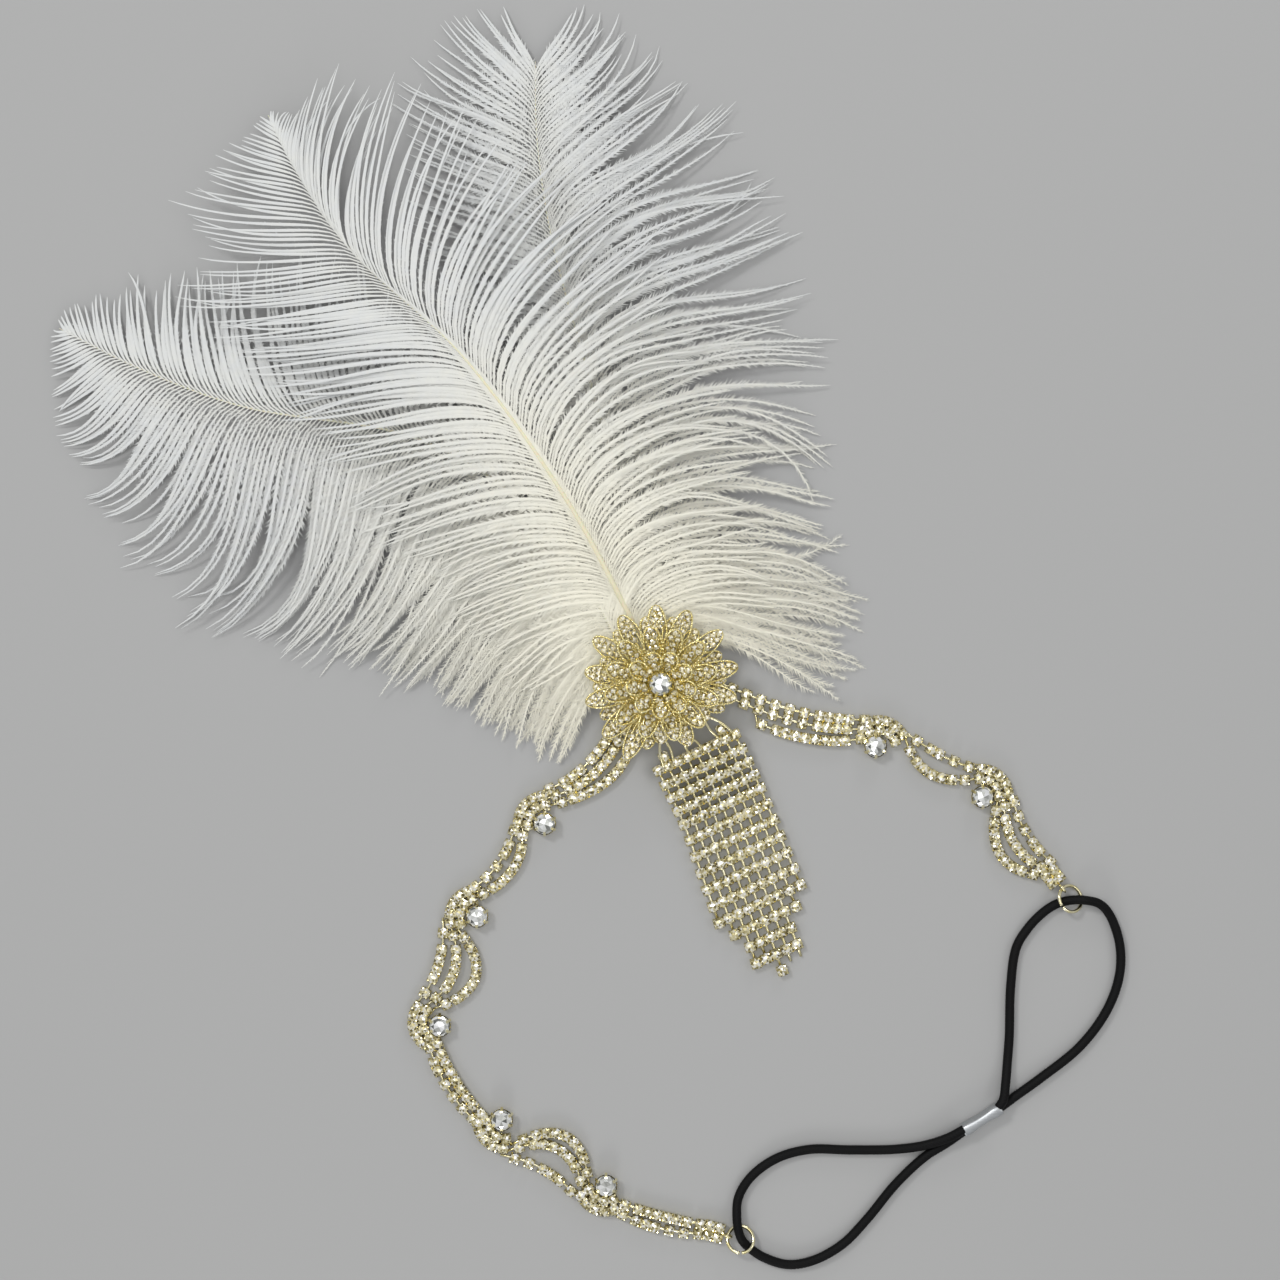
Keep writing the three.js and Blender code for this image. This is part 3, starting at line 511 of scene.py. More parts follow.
plumes = {
    "quill": 0.85,  # radius of the shaft at the quill end
    "tip": 0.12,
    "taper": 1.3,
    "shaftStep": 2.0,
    "barbSteps": 12,
    "barbRidge": 0.4,  # height of a barb's ridge as a share of its half width
    "barbRoot": 0.3, "barbFull": 0.35,  # width at the root against the full, and the share where it is full
    "barbBelly": 0.35, "bellyStart": 0.1, "bellyLength": 0.6,  # what a barb's belly adds, and where
    "barbPoint": 0.36,  # how a barb narrows to its tip, blunt if low
    "barbLeast": 0.04, "barbClear": 0.5,  # least half width, and least height above the floor
    "edgeLean": 0.3,  # how far the shading turns outwards at a barb's edges
    "camber": 0.02,
    "rootHook": 30,  # degrees that a barb leans to the shaft at its root
    "hookFade": 10,  # how soon that lean is lost along the barb
    "strays": 0.025,  # share of barbs that lie across the others
    "strayTurn": 60, "strayMost": 45,  # degrees that they turn, as a spread and at most
    "middleLoose": 1.5, "endLoose": 5,  # degrees that each barb differs at its middle and its end
    "middleSway": 0.1,  # a lock's sway at the middle against that at the end
    "ragged": 0.055,  # how far the lengths of neighbouring barbs differ
    "lockRagged": 0.8,  # the same for locks, against that for barbs
    "wave": 3.5,  # degrees that a lock sways to and fro, for each millimetre of its barbules
    "leastGather": 0.4,  # of a loose lock, against what its vane says
    "lift": 0.012,  # how far barbs stand above or below each other at the tip, as a share of their length
    "barbuleSpacing": 0.52,  # where barbules are longest
    "barbuleWidth": 0.12,  # half of a barbule's foot, with the ones that cling to it
    "barbuleAngle": 40, "barbuleTipAngle": 22, "barbuleLoose": 7,  # degrees off the barb, and the spread
    "barbuleReach": (0.65, 1.15),  # shortest and longest against a vane's own length
    "barbuleRise": (-0.05, 0.12),  # what one climbs or falls, as a share of its length
    "barbuleSpan": (0.02, 0.985),  # where along a barb they stand
    "barbuleInset": 0.6,  # their feet off the middle of the barb, against its half width
    "barbuleDepth": 0.08,
    "barbuleClear": 0.15,  # least height of a tip above the floor
    "closeFrom": 0.35,  # the share of a barb past which they close and shorten
    "fluffShare": 0.38, "leastShare": 0.3,  # how thickly they stand for each millimetre of length, and least
    "ivoryAndLightReach": 125,  # the ivory, and the painted light that brightens the barbs near the brooch, fade out this far from it
    "ivoryAndLightMost": 1.1, "warmShaft": 0.3, "warmFade": 5,  # at the brooch, at a shaft, and how soon that is lost
    # x, y, z of the shafts, quill end first
    "shafts": {
        "plume_left": [(-9, 6, 2.6), (-24, 33, 5.2), (-41, 54, 6.4), (-72, 72.6, 6.4), (-124.8, 82.5, 5),
                       (-155.4, 93.9, 3.6), (-179.5, 106, 2.2)],
        "plume_middle": [(-4, 10, 2.6), (-26.5, 52.4, 9.4), (-58.6, 96.9, 11.4), (-90.4, 127, 10),
                         (-109.2, 154.3, 7), (-116.6, 169, 4.7)],
        "plume_right": [(2, 12, 2.6), (-11, 54.5, 3.2), (-22.8, 96.9, 3.8), (-32.4, 133.2, 3.6),
                        (-36.7, 161.9, 2.8), (-37.3, 185.8, 2)],
    },
    # Up to this share of its length a shaft lies bare between its vanes, and past it the barbs cover it
    "bare": {"plume_left": 0.0, "plume_middle": 0.62, "plume_right": 0.0},
    "coverRun": 0.15,  # the share over which they come to cover it
    # Spacing is along the shaft, at the quill and at the tip, and width is half a barb's.
    # Barbs run together in locks of about this many, at the quill and at the tip, drawn together between
    # these shares of a barb.
    # Columns of barbs: place along the shaft, length, heading off the shaft at root, middle and end, height
    # of the tip, barbule length, the share of it left at the tip, and how far a lock's barbs run together
    "vanes": [
        {"plume": "plume_left", "name": "lower", "turn": 1, "seed": 11,
         "spacing": (1.1, 1.4), "width": 0.54, "lock": (1.6, 3.4), "join": (0.35, 0.9), "sway": 5.5,
         "ragged": 0.045, "barbs": [
             (0.0, 38, 105, 128, 138, 1, 3.0, 0.75, 0.3), (0.05, 46, 96, 122, 132, 1, 3.0, 0.75, 0.3),
             (0.1, 52, 92, 118, 124, 1, 2.9, 0.7, 0.3), (0.2, 65, 86, 116, 104, 1, 2.8, 0.6, 0.3),
             (0.3, 70, 84, 116, 76, 1, 2.6, 0.55, 0.5), (0.5, 75, 84, 114, 34, 1, 2.4, 0.35, 0.9),
             (0.65, 68, 86, 106, 18, 1, 2.3, 0.25, 0.95), (0.8, 43, 78, 92, 20, 1, 1.9, 0.2, 0.9),
             (0.92, 20, 66, 66, 40, 1, 1.1, 0.15, 0.4), (0.965, 10, 54, 48, 38, 1.2, 0.8, 0.15, 0),
             (0.995, 3, 24, 20, 18, 1.4, 0.6, 0.15, 0)]},
        {"plume": "plume_left", "name": "quill", "turn": 1, "seed": 13,
         "spacing": (0.6, 0.9), "width": 0.34, "lock": (1.6, 1.6), "join": (0.5, 1), "sway": 5,
         "ragged": 0.035, "barbs": [
             (0.0, 34, 96, 122, 142, 1, 3.0, 0.75, 0.2), (0.06, 46, 92, 118, 134, 1, 3.0, 0.75, 0.2),
             (0.16, 57, 84, 112, 114, 1, 2.8, 0.7, 0.3), (0.27, 66, 82, 112, 86, 1, 2.7, 0.6, 0.3)]},
        {"plume": "plume_left", "name": "upper", "turn": -1, "seed": 12,
         "spacing": (1.6, 1.9), "width": 0.6, "lock": (1.4, 1), "join": (0.3, 0.9), "sway": 3, "barbs": [
             (0.02, 34, 40, 60, 74, 6, 2.6, 0.4, 0.6), (0.3, 46, 50, 62, 78, 5, 2.2, 0.2, 0.8),
             (0.55, 52, 58, 76, 84, 3, 1.7, 0.12, 0.92), (0.75, 40, 56, 68, 76, 2, 1.4, 0.12, 0.92),
             (0.9, 20, 46, 56, 60, 1.4, 1.1, 0.15, 0.6), (0.965, 10, 36, 38, 36, 1.2, 0.8, 0.15, 0),
             (0.995, 3, 24, 20, 18, 1.4, 0.6, 0.15, 0)]},
        {"plume": "plume_middle", "name": "left", "turn": 1, "seed": 21,
         "spacing": (1.05, 1.9), "width": 0.56, "lock": (2.5, 1.5), "join": (0.4, 1), "sway": 4, "barbs": [
             (0.0, 40, 66, 100, 108, 7, 3.0, 0.5, 0.45), (0.06, 48, 56, 84, 88, 8, 2.8, 0.4, 0.45),
             (0.25, 60, 52, 80, 80, 9.5, 2.4, 0.25, 0.45), (0.4, 66, 44, 70, 62, 9.5, 1.6, 0.15, 0.35),
             (0.62, 62, 56, 52, 30, 8.5, 0.8, 0.1, 0.15), (0.8, 44, 58, 50, 30, 6, 0.6, 0.1, 0),
             (0.93, 14, 45, 40, 35, 4, 0.6, 0.1, 0), (0.995, 2.5, 20, 20, 18, 4, 0.5, 0.1, 0)]},
        {"plume": "plume_middle", "name": "right", "turn": -1, "seed": 22,
         "spacing": (1.0, 1.8), "width": 0.55, "lock": (1.8, 1.4), "join": (0.45, 1), "sway": 7, "barbs": [
             (0.0, 44, 70, 116, 130, 7, 3.0, 0.5, 0.5), (0.15, 56, 58, 108, 120, 8, 2.6, 0.42, 0.5),
             (0.35, 72, 44, 104, 92, 9, 2.0, 0.38, 0.5), (0.62, 63, 36, 72, 70, 8.5, 0.9, 0.15, 0.2),
             (0.8, 46, 24, 46, 64, 6, 0.6, 0.1, 0), (0.93, 14, 28, 40, 48, 4, 0.6, 0.1, 0),
             (0.995, 2.5, 18, 20, 22, 4, 0.5, 0.1, 0)]},
        {"plume": "plume_right", "name": "left", "turn": 1, "seed": 31,
         "spacing": (1.4, 1.5), "width": 0.52, "lock": (2, 1.4), "join": (0.15, 0.6), "sway": 3, "barbs": [
             (0.0, 26, 50, 66, 66, 1.4, 2.6, 0.4, 0.6), (0.3, 36, 50, 66, 66, 1.4, 2.6, 0.3, 0.7),
             (0.68, 50, 62, 60, 50, 1, 2.5, 0.12, 0.9), (0.85, 46, 64, 62, 46, 1, 2.4, 0.12, 0.92),
             (0.95, 30, 52, 40, 32, 1, 2.0, 0.12, 0.9), (0.99, 19, 34, 26, 20, 1.2, 1.5, 0.12, 0.8)]},
        {"plume": "plume_right", "name": "quill", "turn": -1, "seed": 33,
         "spacing": (0.7, 1.2), "width": 0.3, "lock": (1, 1), "join": (0.5, 1), "sway": 5, "barbs": [
             (0.0, 54, 112, 144, 130, 1, 3.2, 0.9, 0), (0.06, 58, 104, 126, 114, 1, 3.2, 0.9, 0),
             (0.1, 60, 94, 114, 104, 1, 3.2, 0.8, 0)]},
        {"plume": "plume_right", "name": "right", "turn": -1, "seed": 32,
         "spacing": (1.25, 1.45), "width": 0.54, "lock": (2.4, 1.6), "join": (0.35, 0.9), "sway": 9,
         "strays": 0.12, "barbs": [
             (0.0, 62, 96, 126, 140, 1, 3.2, 0.75, 0.45), (0.06, 62, 88, 118, 130, 1, 3.2, 0.75, 0.5),
             (0.12, 62, 80, 116, 122, 1, 3.0, 0.6, 0.6), (0.4, 74, 56, 113, 98, 1, 2.7, 0.4, 0.75),
             (0.62, 74, 50, 101, 66, 1, 2.6, 0.3, 0.85), (0.68, 68, 50, 95, 58, 1, 2.6, 0.2, 0.88),
             (0.75, 55, 52, 78, 42, 1, 2.5, 0.12, 0.9), (0.85, 43, 60, 64, 34, 1, 2.4, 0.12, 0.92),
             (0.95, 30, 58, 46, 14, 1, 2.0, 0.12, 0.9), (0.99, 19, 40, 20, 2, 1.2, 1.5, 0.12, 0.8)]},
    ],
}


def shaftRadius(share):
    return plumes["tip"] + (plumes["quill"] - plumes["tip"]) * (1 - share)**plumes["taper"]


def smoothStep(share):
    share = np.clip(share, 0, 1)
    return share * share * (3 - 2 * share)


def barbRoots(vane, span):
    # Places of the barbs along a vane, from 0 to 1, with a spacing that changes evenly
    near, far = vane["spacing"]
    count = int(span * math.log(far / near) / (far - near))
    return near / (far - near) * (np.exp((far - near) / span * np.arange(count)) - 1)


def barbLines(shaft, vane, rng):
    # Centre lines of a vane's barbs, with the barbule length, its share at the tip and the lock of each
    columns = np.array(vane["barbs"], float).T
    first, last = columns[0, 0], columns[0, -1]
    at = first + (last - first) * barbRoots(vane, (last - first) * routeLength(shaft))
    count = len(at)
    length, root, middle, end, tipHeight, fluff, tipFluff, gather = (
        np.interp(at, columns[0], column) for column in columns[1:])
    lock = np.cumsum(rng.random(count) < 1 / np.interp(at, [first, last], vane["lock"]))
    strays, ragged = (vane.get(key, plumes[key]) for key in ("strays", "ragged"))
    sway = rng.normal(0, vane["sway"], count + 1)[lock]
    uneven = rng.normal(0, plumes["lockRagged"] * ragged, count + 1)[lock]
    stray = np.clip(rng.normal(0, plumes["strayTurn"], count), -plumes["strayMost"], plumes["strayMost"])
    stray = stray * (rng.random(count) < strays)
    end = end + sway + rng.normal(0, plumes["endLoose"], count)
    middle = middle + plumes["middleSway"] * sway + rng.normal(0, plumes["middleLoose"], count)
    length = length * (1 + uneven + rng.normal(0, ragged, count))
    steps = plumes["barbSteps"]
    share = np.linspace(0, 1, steps + 1)[None, :]
    root, middle, end = root[:, None], middle[:, None], end[:, None]
    turned = (1 - share)**2 * root + 2 * share * (1 - share) * middle + share**2 * end
    turned = turned - plumes["rootHook"] * np.exp(-plumes["hookFade"] * share) + stray[:, None] * share**3
    wave = fluff * rng.normal(0, plumes["wave"], count + 1)[lock]
    phase = rng.random(count + 1)[lock]
    turned = turned + wave[:, None] * share * np.sin(2 * np.pi * (share + phase[:, None]))
    along = np.gradient(shaft, axis=0)
    place = at * (len(shaft) - 1)
    rooted = np.column_stack([np.interp(place, np.arange(len(shaft)), shaft[:, k]) for k in range(3)])
    shaftHeading = np.interp(place, np.arange(len(shaft)), np.unwrap(np.arctan2(along[:, 1], along[:, 0])))
    heading = shaftHeading[:, None] + vane["turn"] * np.radians(turned)
    stride = (length / steps)[:, None]
    x = np.cumsum(np.cos(heading) * stride, axis=1) - np.cos(heading) * stride
    y = np.cumsum(np.sin(heading) * stride, axis=1) - np.sin(heading) * stride
    lift = rng.normal(0, plumes["lift"], count)[:, None] * length[:, None] * share
    bare = plumes["bare"][vane["plume"]]
    covered = np.clip((at - bare) / plumes["coverRun"] + 1, 0, 1) if bare else np.ones(count)
    rooted[:, 2] += covered * shaftRadius(at)
    z = rooted[:, 2:] + (tipHeight[:, None] - rooted[:, 2:]) * share**2
    z = z + plumes["camber"] * length[:, None] * np.sin(np.pi * share) + lift
    lines = np.stack([rooted[:, :1] + x, rooted[:, 1:2] + y, np.maximum(z, plumes["barbClear"])], -1)
    gather = gather * rng.uniform(plumes["leastGather"], 1, count + 1)[lock] * (stray == 0)
    return gatherLocks(lines, lock, gather, vane["join"]), length, fluff, tipFluff


def gatherLocks(lines, lock, gather, join):
    # Draws each barb towards the middle of its lock, more and more along its length
    middle = np.zeros((lock.max() + 1, *lines.shape[1:]))
    np.add.at(middle, lock, lines)
    middle /= np.maximum(np.bincount(lock), 1)[:, None, None]
    drawn = gather[:, None] * smoothStep((np.linspace(0, 1, lines.shape[1]) - join[0]) / (join[1] - join[0]))
    flat = (middle[lock] - lines) * drawn[..., None]
    flat[..., 2] = 0
    return lines + flat


def ivoryAndPaintedLightOf(points, nearShaft):
    # Ivory tone near the shafts, and painted light: barbs are painted brighter and warmer near the brooch,
    # fading out towards the tips
    fromBrooch = np.linalg.norm(points[..., :2], axis=-1)
    near = np.clip(plumes["ivoryAndLightMost"] * (1 - fromBrooch / plumes["ivoryAndLightReach"]), 0, 1)
    return near + plumes["warmShaft"] * nearShaft


def barbHalf(share, fluff, width):
    # Half width along a barb
    inBelly = np.clip((share - plumes["bellyStart"]) / plumes["bellyLength"], 0, 1)
    swell = plumes["barbRoot"] + (1 - plumes["barbRoot"]) * smoothStep(share / plumes["barbFull"])
    swell = swell + plumes["barbBelly"] * np.sin(np.pi * inBelly)
    fringed = np.clip(1.35 - 0.25 * fluff, 0.6, 1)  # slimmer under long barbules
    bare = np.clip(0.4 + 0.4 * fluff, 0.62, 1)  # and where there are hardly any
    return fringed * bare * width * swell * (1 - share)**plumes["barbPoint"] + plumes["barbLeast"]


def sideways(heading, reach):
    return np.stack([-np.sin(heading) * reach, np.cos(heading) * reach, 0 * heading], -1)


def barbRibbons(lines, heading, fluff, width):
    # Each barb is a slim ribbon with a ridge, widest at a third of its length and drawn out to a point
    count, rings = heading.shape
    share = np.linspace(0, 1, rings)[None, :]
    half = barbHalf(share, fluff[:, None], width)
    across = sideways(heading, half)
    up = np.broadcast_to([0.0, 0, 1], across.shape)
    points = np.stack([lines + across, lines + plumes["barbRidge"] * half[..., None] * up, lines - across], 2)
    lean = sideways(heading, plumes["edgeLean"])
    normals = np.stack([up + lean, up, up - lean], 2).reshape(-1, 3)
    nearShaft = np.broadcast_to(np.exp(-plumes["warmFade"] * share), heading.shape)
    ivoryAndPaintedLight = np.repeat(ivoryAndPaintedLightOf(lines, nearShaft)[..., None], 3, -1).ravel()
    across = (np.arange(count)[:, None, None] + np.array([0.2, 0.5, 0.8])) / count  # on the map
    places = np.stack(np.broadcast_arrays(share[0][None, :, None], across), -1).reshape(-1, 2)
    return points.reshape(-1, 3), tubeFaces(count, rings, 3), ivoryAndPaintedLight, places, normals


def barbuleNeedles(lines, heading, length, fluff, tipFluff, width, rng):
    # Barbules are fine needles off both edges of a barb, leaning to its tip and lying closer towards it
    count, rings = heading.shape
    crowding = np.clip(plumes["fluffShare"] * fluff, plumes["leastShare"], 1)
    crowding = crowding * (1 + np.maximum(tipFluff - 0.4, 0))  # more where the tips are full
    owner = np.repeat(np.arange(count), (2 * length * crowding / plumes["barbuleSpacing"]).astype(int))
    place = rng.uniform(*plumes["barbuleSpan"], len(owner))
    side = rng.choice([-1.0, 1.0], len(owner))
    cell = np.minimum((place * (rings - 1)).astype(int), rings - 2)
    part = (place * (rings - 1) - cell)[:, None]
    middle = lines[owner, cell] * (1 - part) + lines[owner, cell + 1] * part
    way = heading[owner, cell]
    half = barbHalf(place, fluff[owner], width)
    outward = sideways(way, side)
    edge = middle + outward * (plumes["barbuleInset"] * half)[:, None]
    outer = smoothStep((place - plumes["closeFrom"]) / (1 - plumes["closeFrom"]))
    closing = outer * (1 - tipFluff[owner]) * (plumes["barbuleAngle"] - plumes["barbuleTipAngle"])
    loose = rng.normal(0, plumes["barbuleLoose"], len(owner))
    lean = way + side * np.radians(plumes["barbuleAngle"] - closing + loose)
    taper = np.minimum(1, 0.5 + 2.2 * place) * (1 - (1 - tipFluff[owner]) * outer)
    pointed = np.minimum(1, 0.3 + 5 * (1 - place))  # short ones at the very tip
    reach = fluff[owner] * taper * pointed * rng.uniform(*plumes["barbuleReach"], len(owner))
    rise = rng.uniform(*plumes["barbuleRise"], len(owner)) * reach
    tip = edge + np.column_stack([np.cos(lean) * reach, np.sin(lean) * reach, rise])
    tip[:, 2] = np.maximum(tip[:, 2], plumes["barbuleClear"])
    foot = np.column_stack([np.cos(way), np.sin(way), 0 * way]) * (side * plumes["barbuleWidth"])[:, None]
    up = np.broadcast_to([0.0, 0, 1], edge.shape)
    top = middle + up * (0.5 * plumes["barbRidge"] * half + plumes["barbuleDepth"])[:, None]
    points = np.stack([edge - foot, edge + foot, top, tip], 1).reshape(-1, 3)
    leaning = up + plumes["edgeLean"] * outward
    normals = np.stack([leaning, leaning, up, leaning], 1).reshape(-1, 3)
    start = 4 * np.arange(len(owner))[:, None]
    triangles = np.vstack([start + [1, 0, 3], start + [0, 1, 2], start + [1, 3, 2], start + [0, 2, 3]])
    ivoryAndPaintedLight = np.repeat(ivoryAndPaintedLightOf(middle, np.exp(-plumes["warmFade"] * place)), 4)
    across = (owner[:, None] + [0.3, 0.3, 0.5, 0.8]) / count  # on the map
    along = place[:, None] + [-0.004, 0.004, 0, 0.008]
    return points, triangles, ivoryAndPaintedLight, np.stack([along, across], -1).reshape(-1, 2), normals


def growVane(vane):
    rng = np.random.default_rng(vane["seed"])
    shaft = smoothRoute(plumes["shafts"][vane["plume"]], plumes["shaftStep"])
    lines, length, fluff, tipFluff = barbLines(shaft, vane, rng)
    along = np.gradient(lines, axis=1)
    heading = np.arctan2(along[..., 1], along[..., 0])
    ribbons = barbRibbons(lines, heading, fluff, vane["width"])
    needles = barbuleNeedles(lines, heading, length, fluff, tipFluff, vane["width"], rng)
    points, ivoryAndPaintedLight, places, normals = (np.concatenate([ribbons[k], needles[k]]) for k in (0, 2, 3, 4))
    triangles = np.vstack([ribbons[1], needles[1] + len(ribbons[0])])
    name = vane["plume"] + "_" + vane["name"] + "_barbs"
    mesh = meshFromArrays(name, points, triangles, {"ivoryAndPaintedLight": ivoryAndPaintedLight}, places, normals)
    addPiece(name, mesh, ostrich)
    print(name, "has", len(lines), "barbs and", len(triangles), "triangles")


for node, points in plumes["shafts"].items():
    shaft = smoothRoute(points, plumes["shaftStep"])
    width = shaftRadius(np.linspace(0, 1, len(shaft))) / plumes["quill"]
    name = node + "_shaft"
    mesh = wireMesh(name, [wire(shaft, width=width)], plumes["quill"], 3)
    addPiece(name, mesh, horn, [node])
for vane in plumes["vanes"]:
    growVane(vane)


# Stones and settings that the brooch, the tassel and the band share

stones = {
    "cupWidth": 3.1,  # a square cup of the chain, across
    "cupHeight": 1.65,
    "cupRim": 0.15,
    "cupCorner": 0.5,  # cut off its upright edges
    "cupFoot": 0.82,  # its width at the foot against that at the top
    "cupDepth": 0.45,
    "claw": (0.4, 0.4, 0.95),
    "clawPlace": 0.4, "clawRise": 0.12,  # out from the middle as a share of the width, and above the rim
    "clawLean": 28,
    "chainStone": 1.64,  # radius
    "stoneRise": 0.1,  # a chain stone's girdle above its cup
    "sparkle": (0.95, 0.85),  # spread of the facets' painted glint brightness
    "seed": 5,
}

# A turned setting, in shares of its stone's radius
collet = {
    "foot": 0.7, "top": 1.04, "height": 0.9,
    "rim": 0.1, "depth": 0.25,
    "claw": (0.17, 0.24, 0.62),
    "clawPlace": (0.97, 0, 0.95),
    "clawLean": -24,
}

# Rings of a cut stone: radius and height as shares of the girdle's, corners and turn. Its point is the culet.
smallCut = {"rings": [(1, 0, 8, 0), (1, 0.08, 8, 0), (0.56, 0.4, 8, 0.5), (0, 0.47, 1, 0)], "culet": 0.7}
largeCut = {"rings": [(1, -0.04, 16, 0), (1, 0.04, 16, 0), (0.84, 0.23, 8, 0), (0.55, 0.39, 8, 0.5),
                      (0, 0.45, 1, 0)], "culet": 0.8}


def cutStone(name, radius, cut):
    bm = bmesh.new()
    for across, height, corners, turn in cut["rings"]:
        for k in range(corners):
            angle = 2 * math.pi * (k + turn) / corners
            bm.verts.new(Vector((across * math.cos(angle), across * math.sin(angle), height)) * radius * mm)
    bm.verts.new((0, 0, -cut["culet"] * radius * mm))
    bmesh.ops.convex_hull(bm, input=bm.verts[:])
    bmesh.ops.dissolve_limit(bm, angle_limit=math.radians(2), verts=bm.verts[:], edges=bm.edges[:])
    return finished(bm, name)


def squareCup():
    # A stamped square cup, open at the top, with a claw at each corner
    width, height = stones["cupWidth"], stones["cupHeight"]
    bm = bmesh.new()
    bmesh.ops.create_cube(bm, size=1)
    bmesh.ops.scale(bm, vec=(width, width, height), verts=bm.verts)
    bmesh.ops.translate(bm, vec=(0, 0, height / 2), verts=bm.verts)
    uprights = [edge for edge in bm.edges if abs(edge.verts[0].co.z - edge.verts[1].co.z) > height / 2]
    bmesh.ops.bevel(bm, geom=uprights, offset=stones["cupCorner"], affect="EDGES", segments=1,
                    profile=0.5, material=-1)
    foot = [v for v in bm.verts if v.co.z < height / 2]
    bmesh.ops.scale(bm, vec=(stones["cupFoot"], stones["cupFoot"], 1), verts=foot)
    top = [face for face in bm.faces if face.normal.z > 0.9]
    bmesh.ops.inset_region(bm, faces=top, thickness=stones["cupRim"], depth=0)
    bmesh.ops.translate(bm, vec=(0, 0, -stones["cupDepth"]), verts=top[0].verts)
    out, rise = stones["clawPlace"] * width, height + stones["clawRise"]
    for x, y in ((-1, -1), (-1, 1), (1, -1), (1, 1)):
        corner = Matrix.Translation((x * out, y * out, rise))
        lean = Matrix.Rotation(math.radians(stones["clawLean"]), 4, Vector((y, -x, 0)))
        bmesh.ops.create_cube(bm, size=1, matrix=corner @ lean @ Matrix.Diagonal((*stones["claw"], 1)))
    bmesh.ops.scale(bm, vec=(mm, mm, mm), verts=bm.verts)
    return finished(bm, "squareCup")


def roundCup(radius, claws, segments=10):
    # A turned collet with claws bent over the girdle, for a stone of this radius
    bm = bmesh.new()
    bmesh.ops.create_cone(bm, cap_ends=True, segments=segments, radius1=collet["foot"],
                          radius2=collet["top"], depth=collet["height"])
    bmesh.ops.translate(bm, vec=(0, 0, collet["height"] / 2), verts=bm.verts)
    top = [face for face in bm.faces if face.normal.z > 0.9]
    bmesh.ops.inset_region(bm, faces=top, thickness=collet["rim"], depth=0)
    bmesh.ops.translate(bm, vec=(0, 0, -collet["depth"]), verts=top[0].verts)
    place = Matrix.Translation(collet["clawPlace"])
    lean = Matrix.Rotation(math.radians(collet["clawLean"]), 4, "Y")
    size = Matrix.Diagonal((*collet["claw"], 1))
    for k in range(claws):
        turn = Matrix.Rotation(2 * math.pi * (k + 0.5) / claws, 4, "Z")
        bmesh.ops.create_cube(bm, size=1, matrix=turn @ place @ lean @ size)
    bmesh.ops.scale(bm, vec=[radius * mm] * 3, verts=bm.verts)
    return finished(bm, "roundCup")


def bead(radius):
    bm = bmesh.new()
    bmesh.ops.create_icosphere(bm, subdivisions=1, radius=radius * mm)
    mesh = finished(bm, "bead")
    mesh.shade_smooth()
    return mesh


def addStones(name, mesh, glass, nodes=()):
    # Each facet gets its own painted glint, a random brightness that stands in for its reflections
    rng = np.random.default_rng(stones["seed"])
    paintedGlints = mesh.attributes.new("paintedGlint", "FLOAT", "FACE")
    paintedGlints.data.foreach_set("value", rng.beta(*stones["sparkle"], len(mesh.polygons)))
    return addPiece(name, mesh, glass, nodes)


chainCup = squareCup()
chainStone = cutStone("chainStone", stones["chainStone"], smallCut)


def addChain(name, cups, links, thickness, nodes):
    # Cups and the wire that links them, as one piece
    parts = [scatter("cups", chainCup, cups), wireMesh("links", links, thickness)]
    addPiece(name, joinMeshes(name, parts), chainGilt, nodes)


def seated(placings):
    # From cups to the girdles of the stones in them
    rise = stones["cupHeight"] + stones["stoneRise"]
    return [matrix @ Matrix.Translation((0, 0, rise * mm)) for matrix in placings]


# Brooch: four tiers of pierced leaf petals, and a round centre stone in a ring of small ones

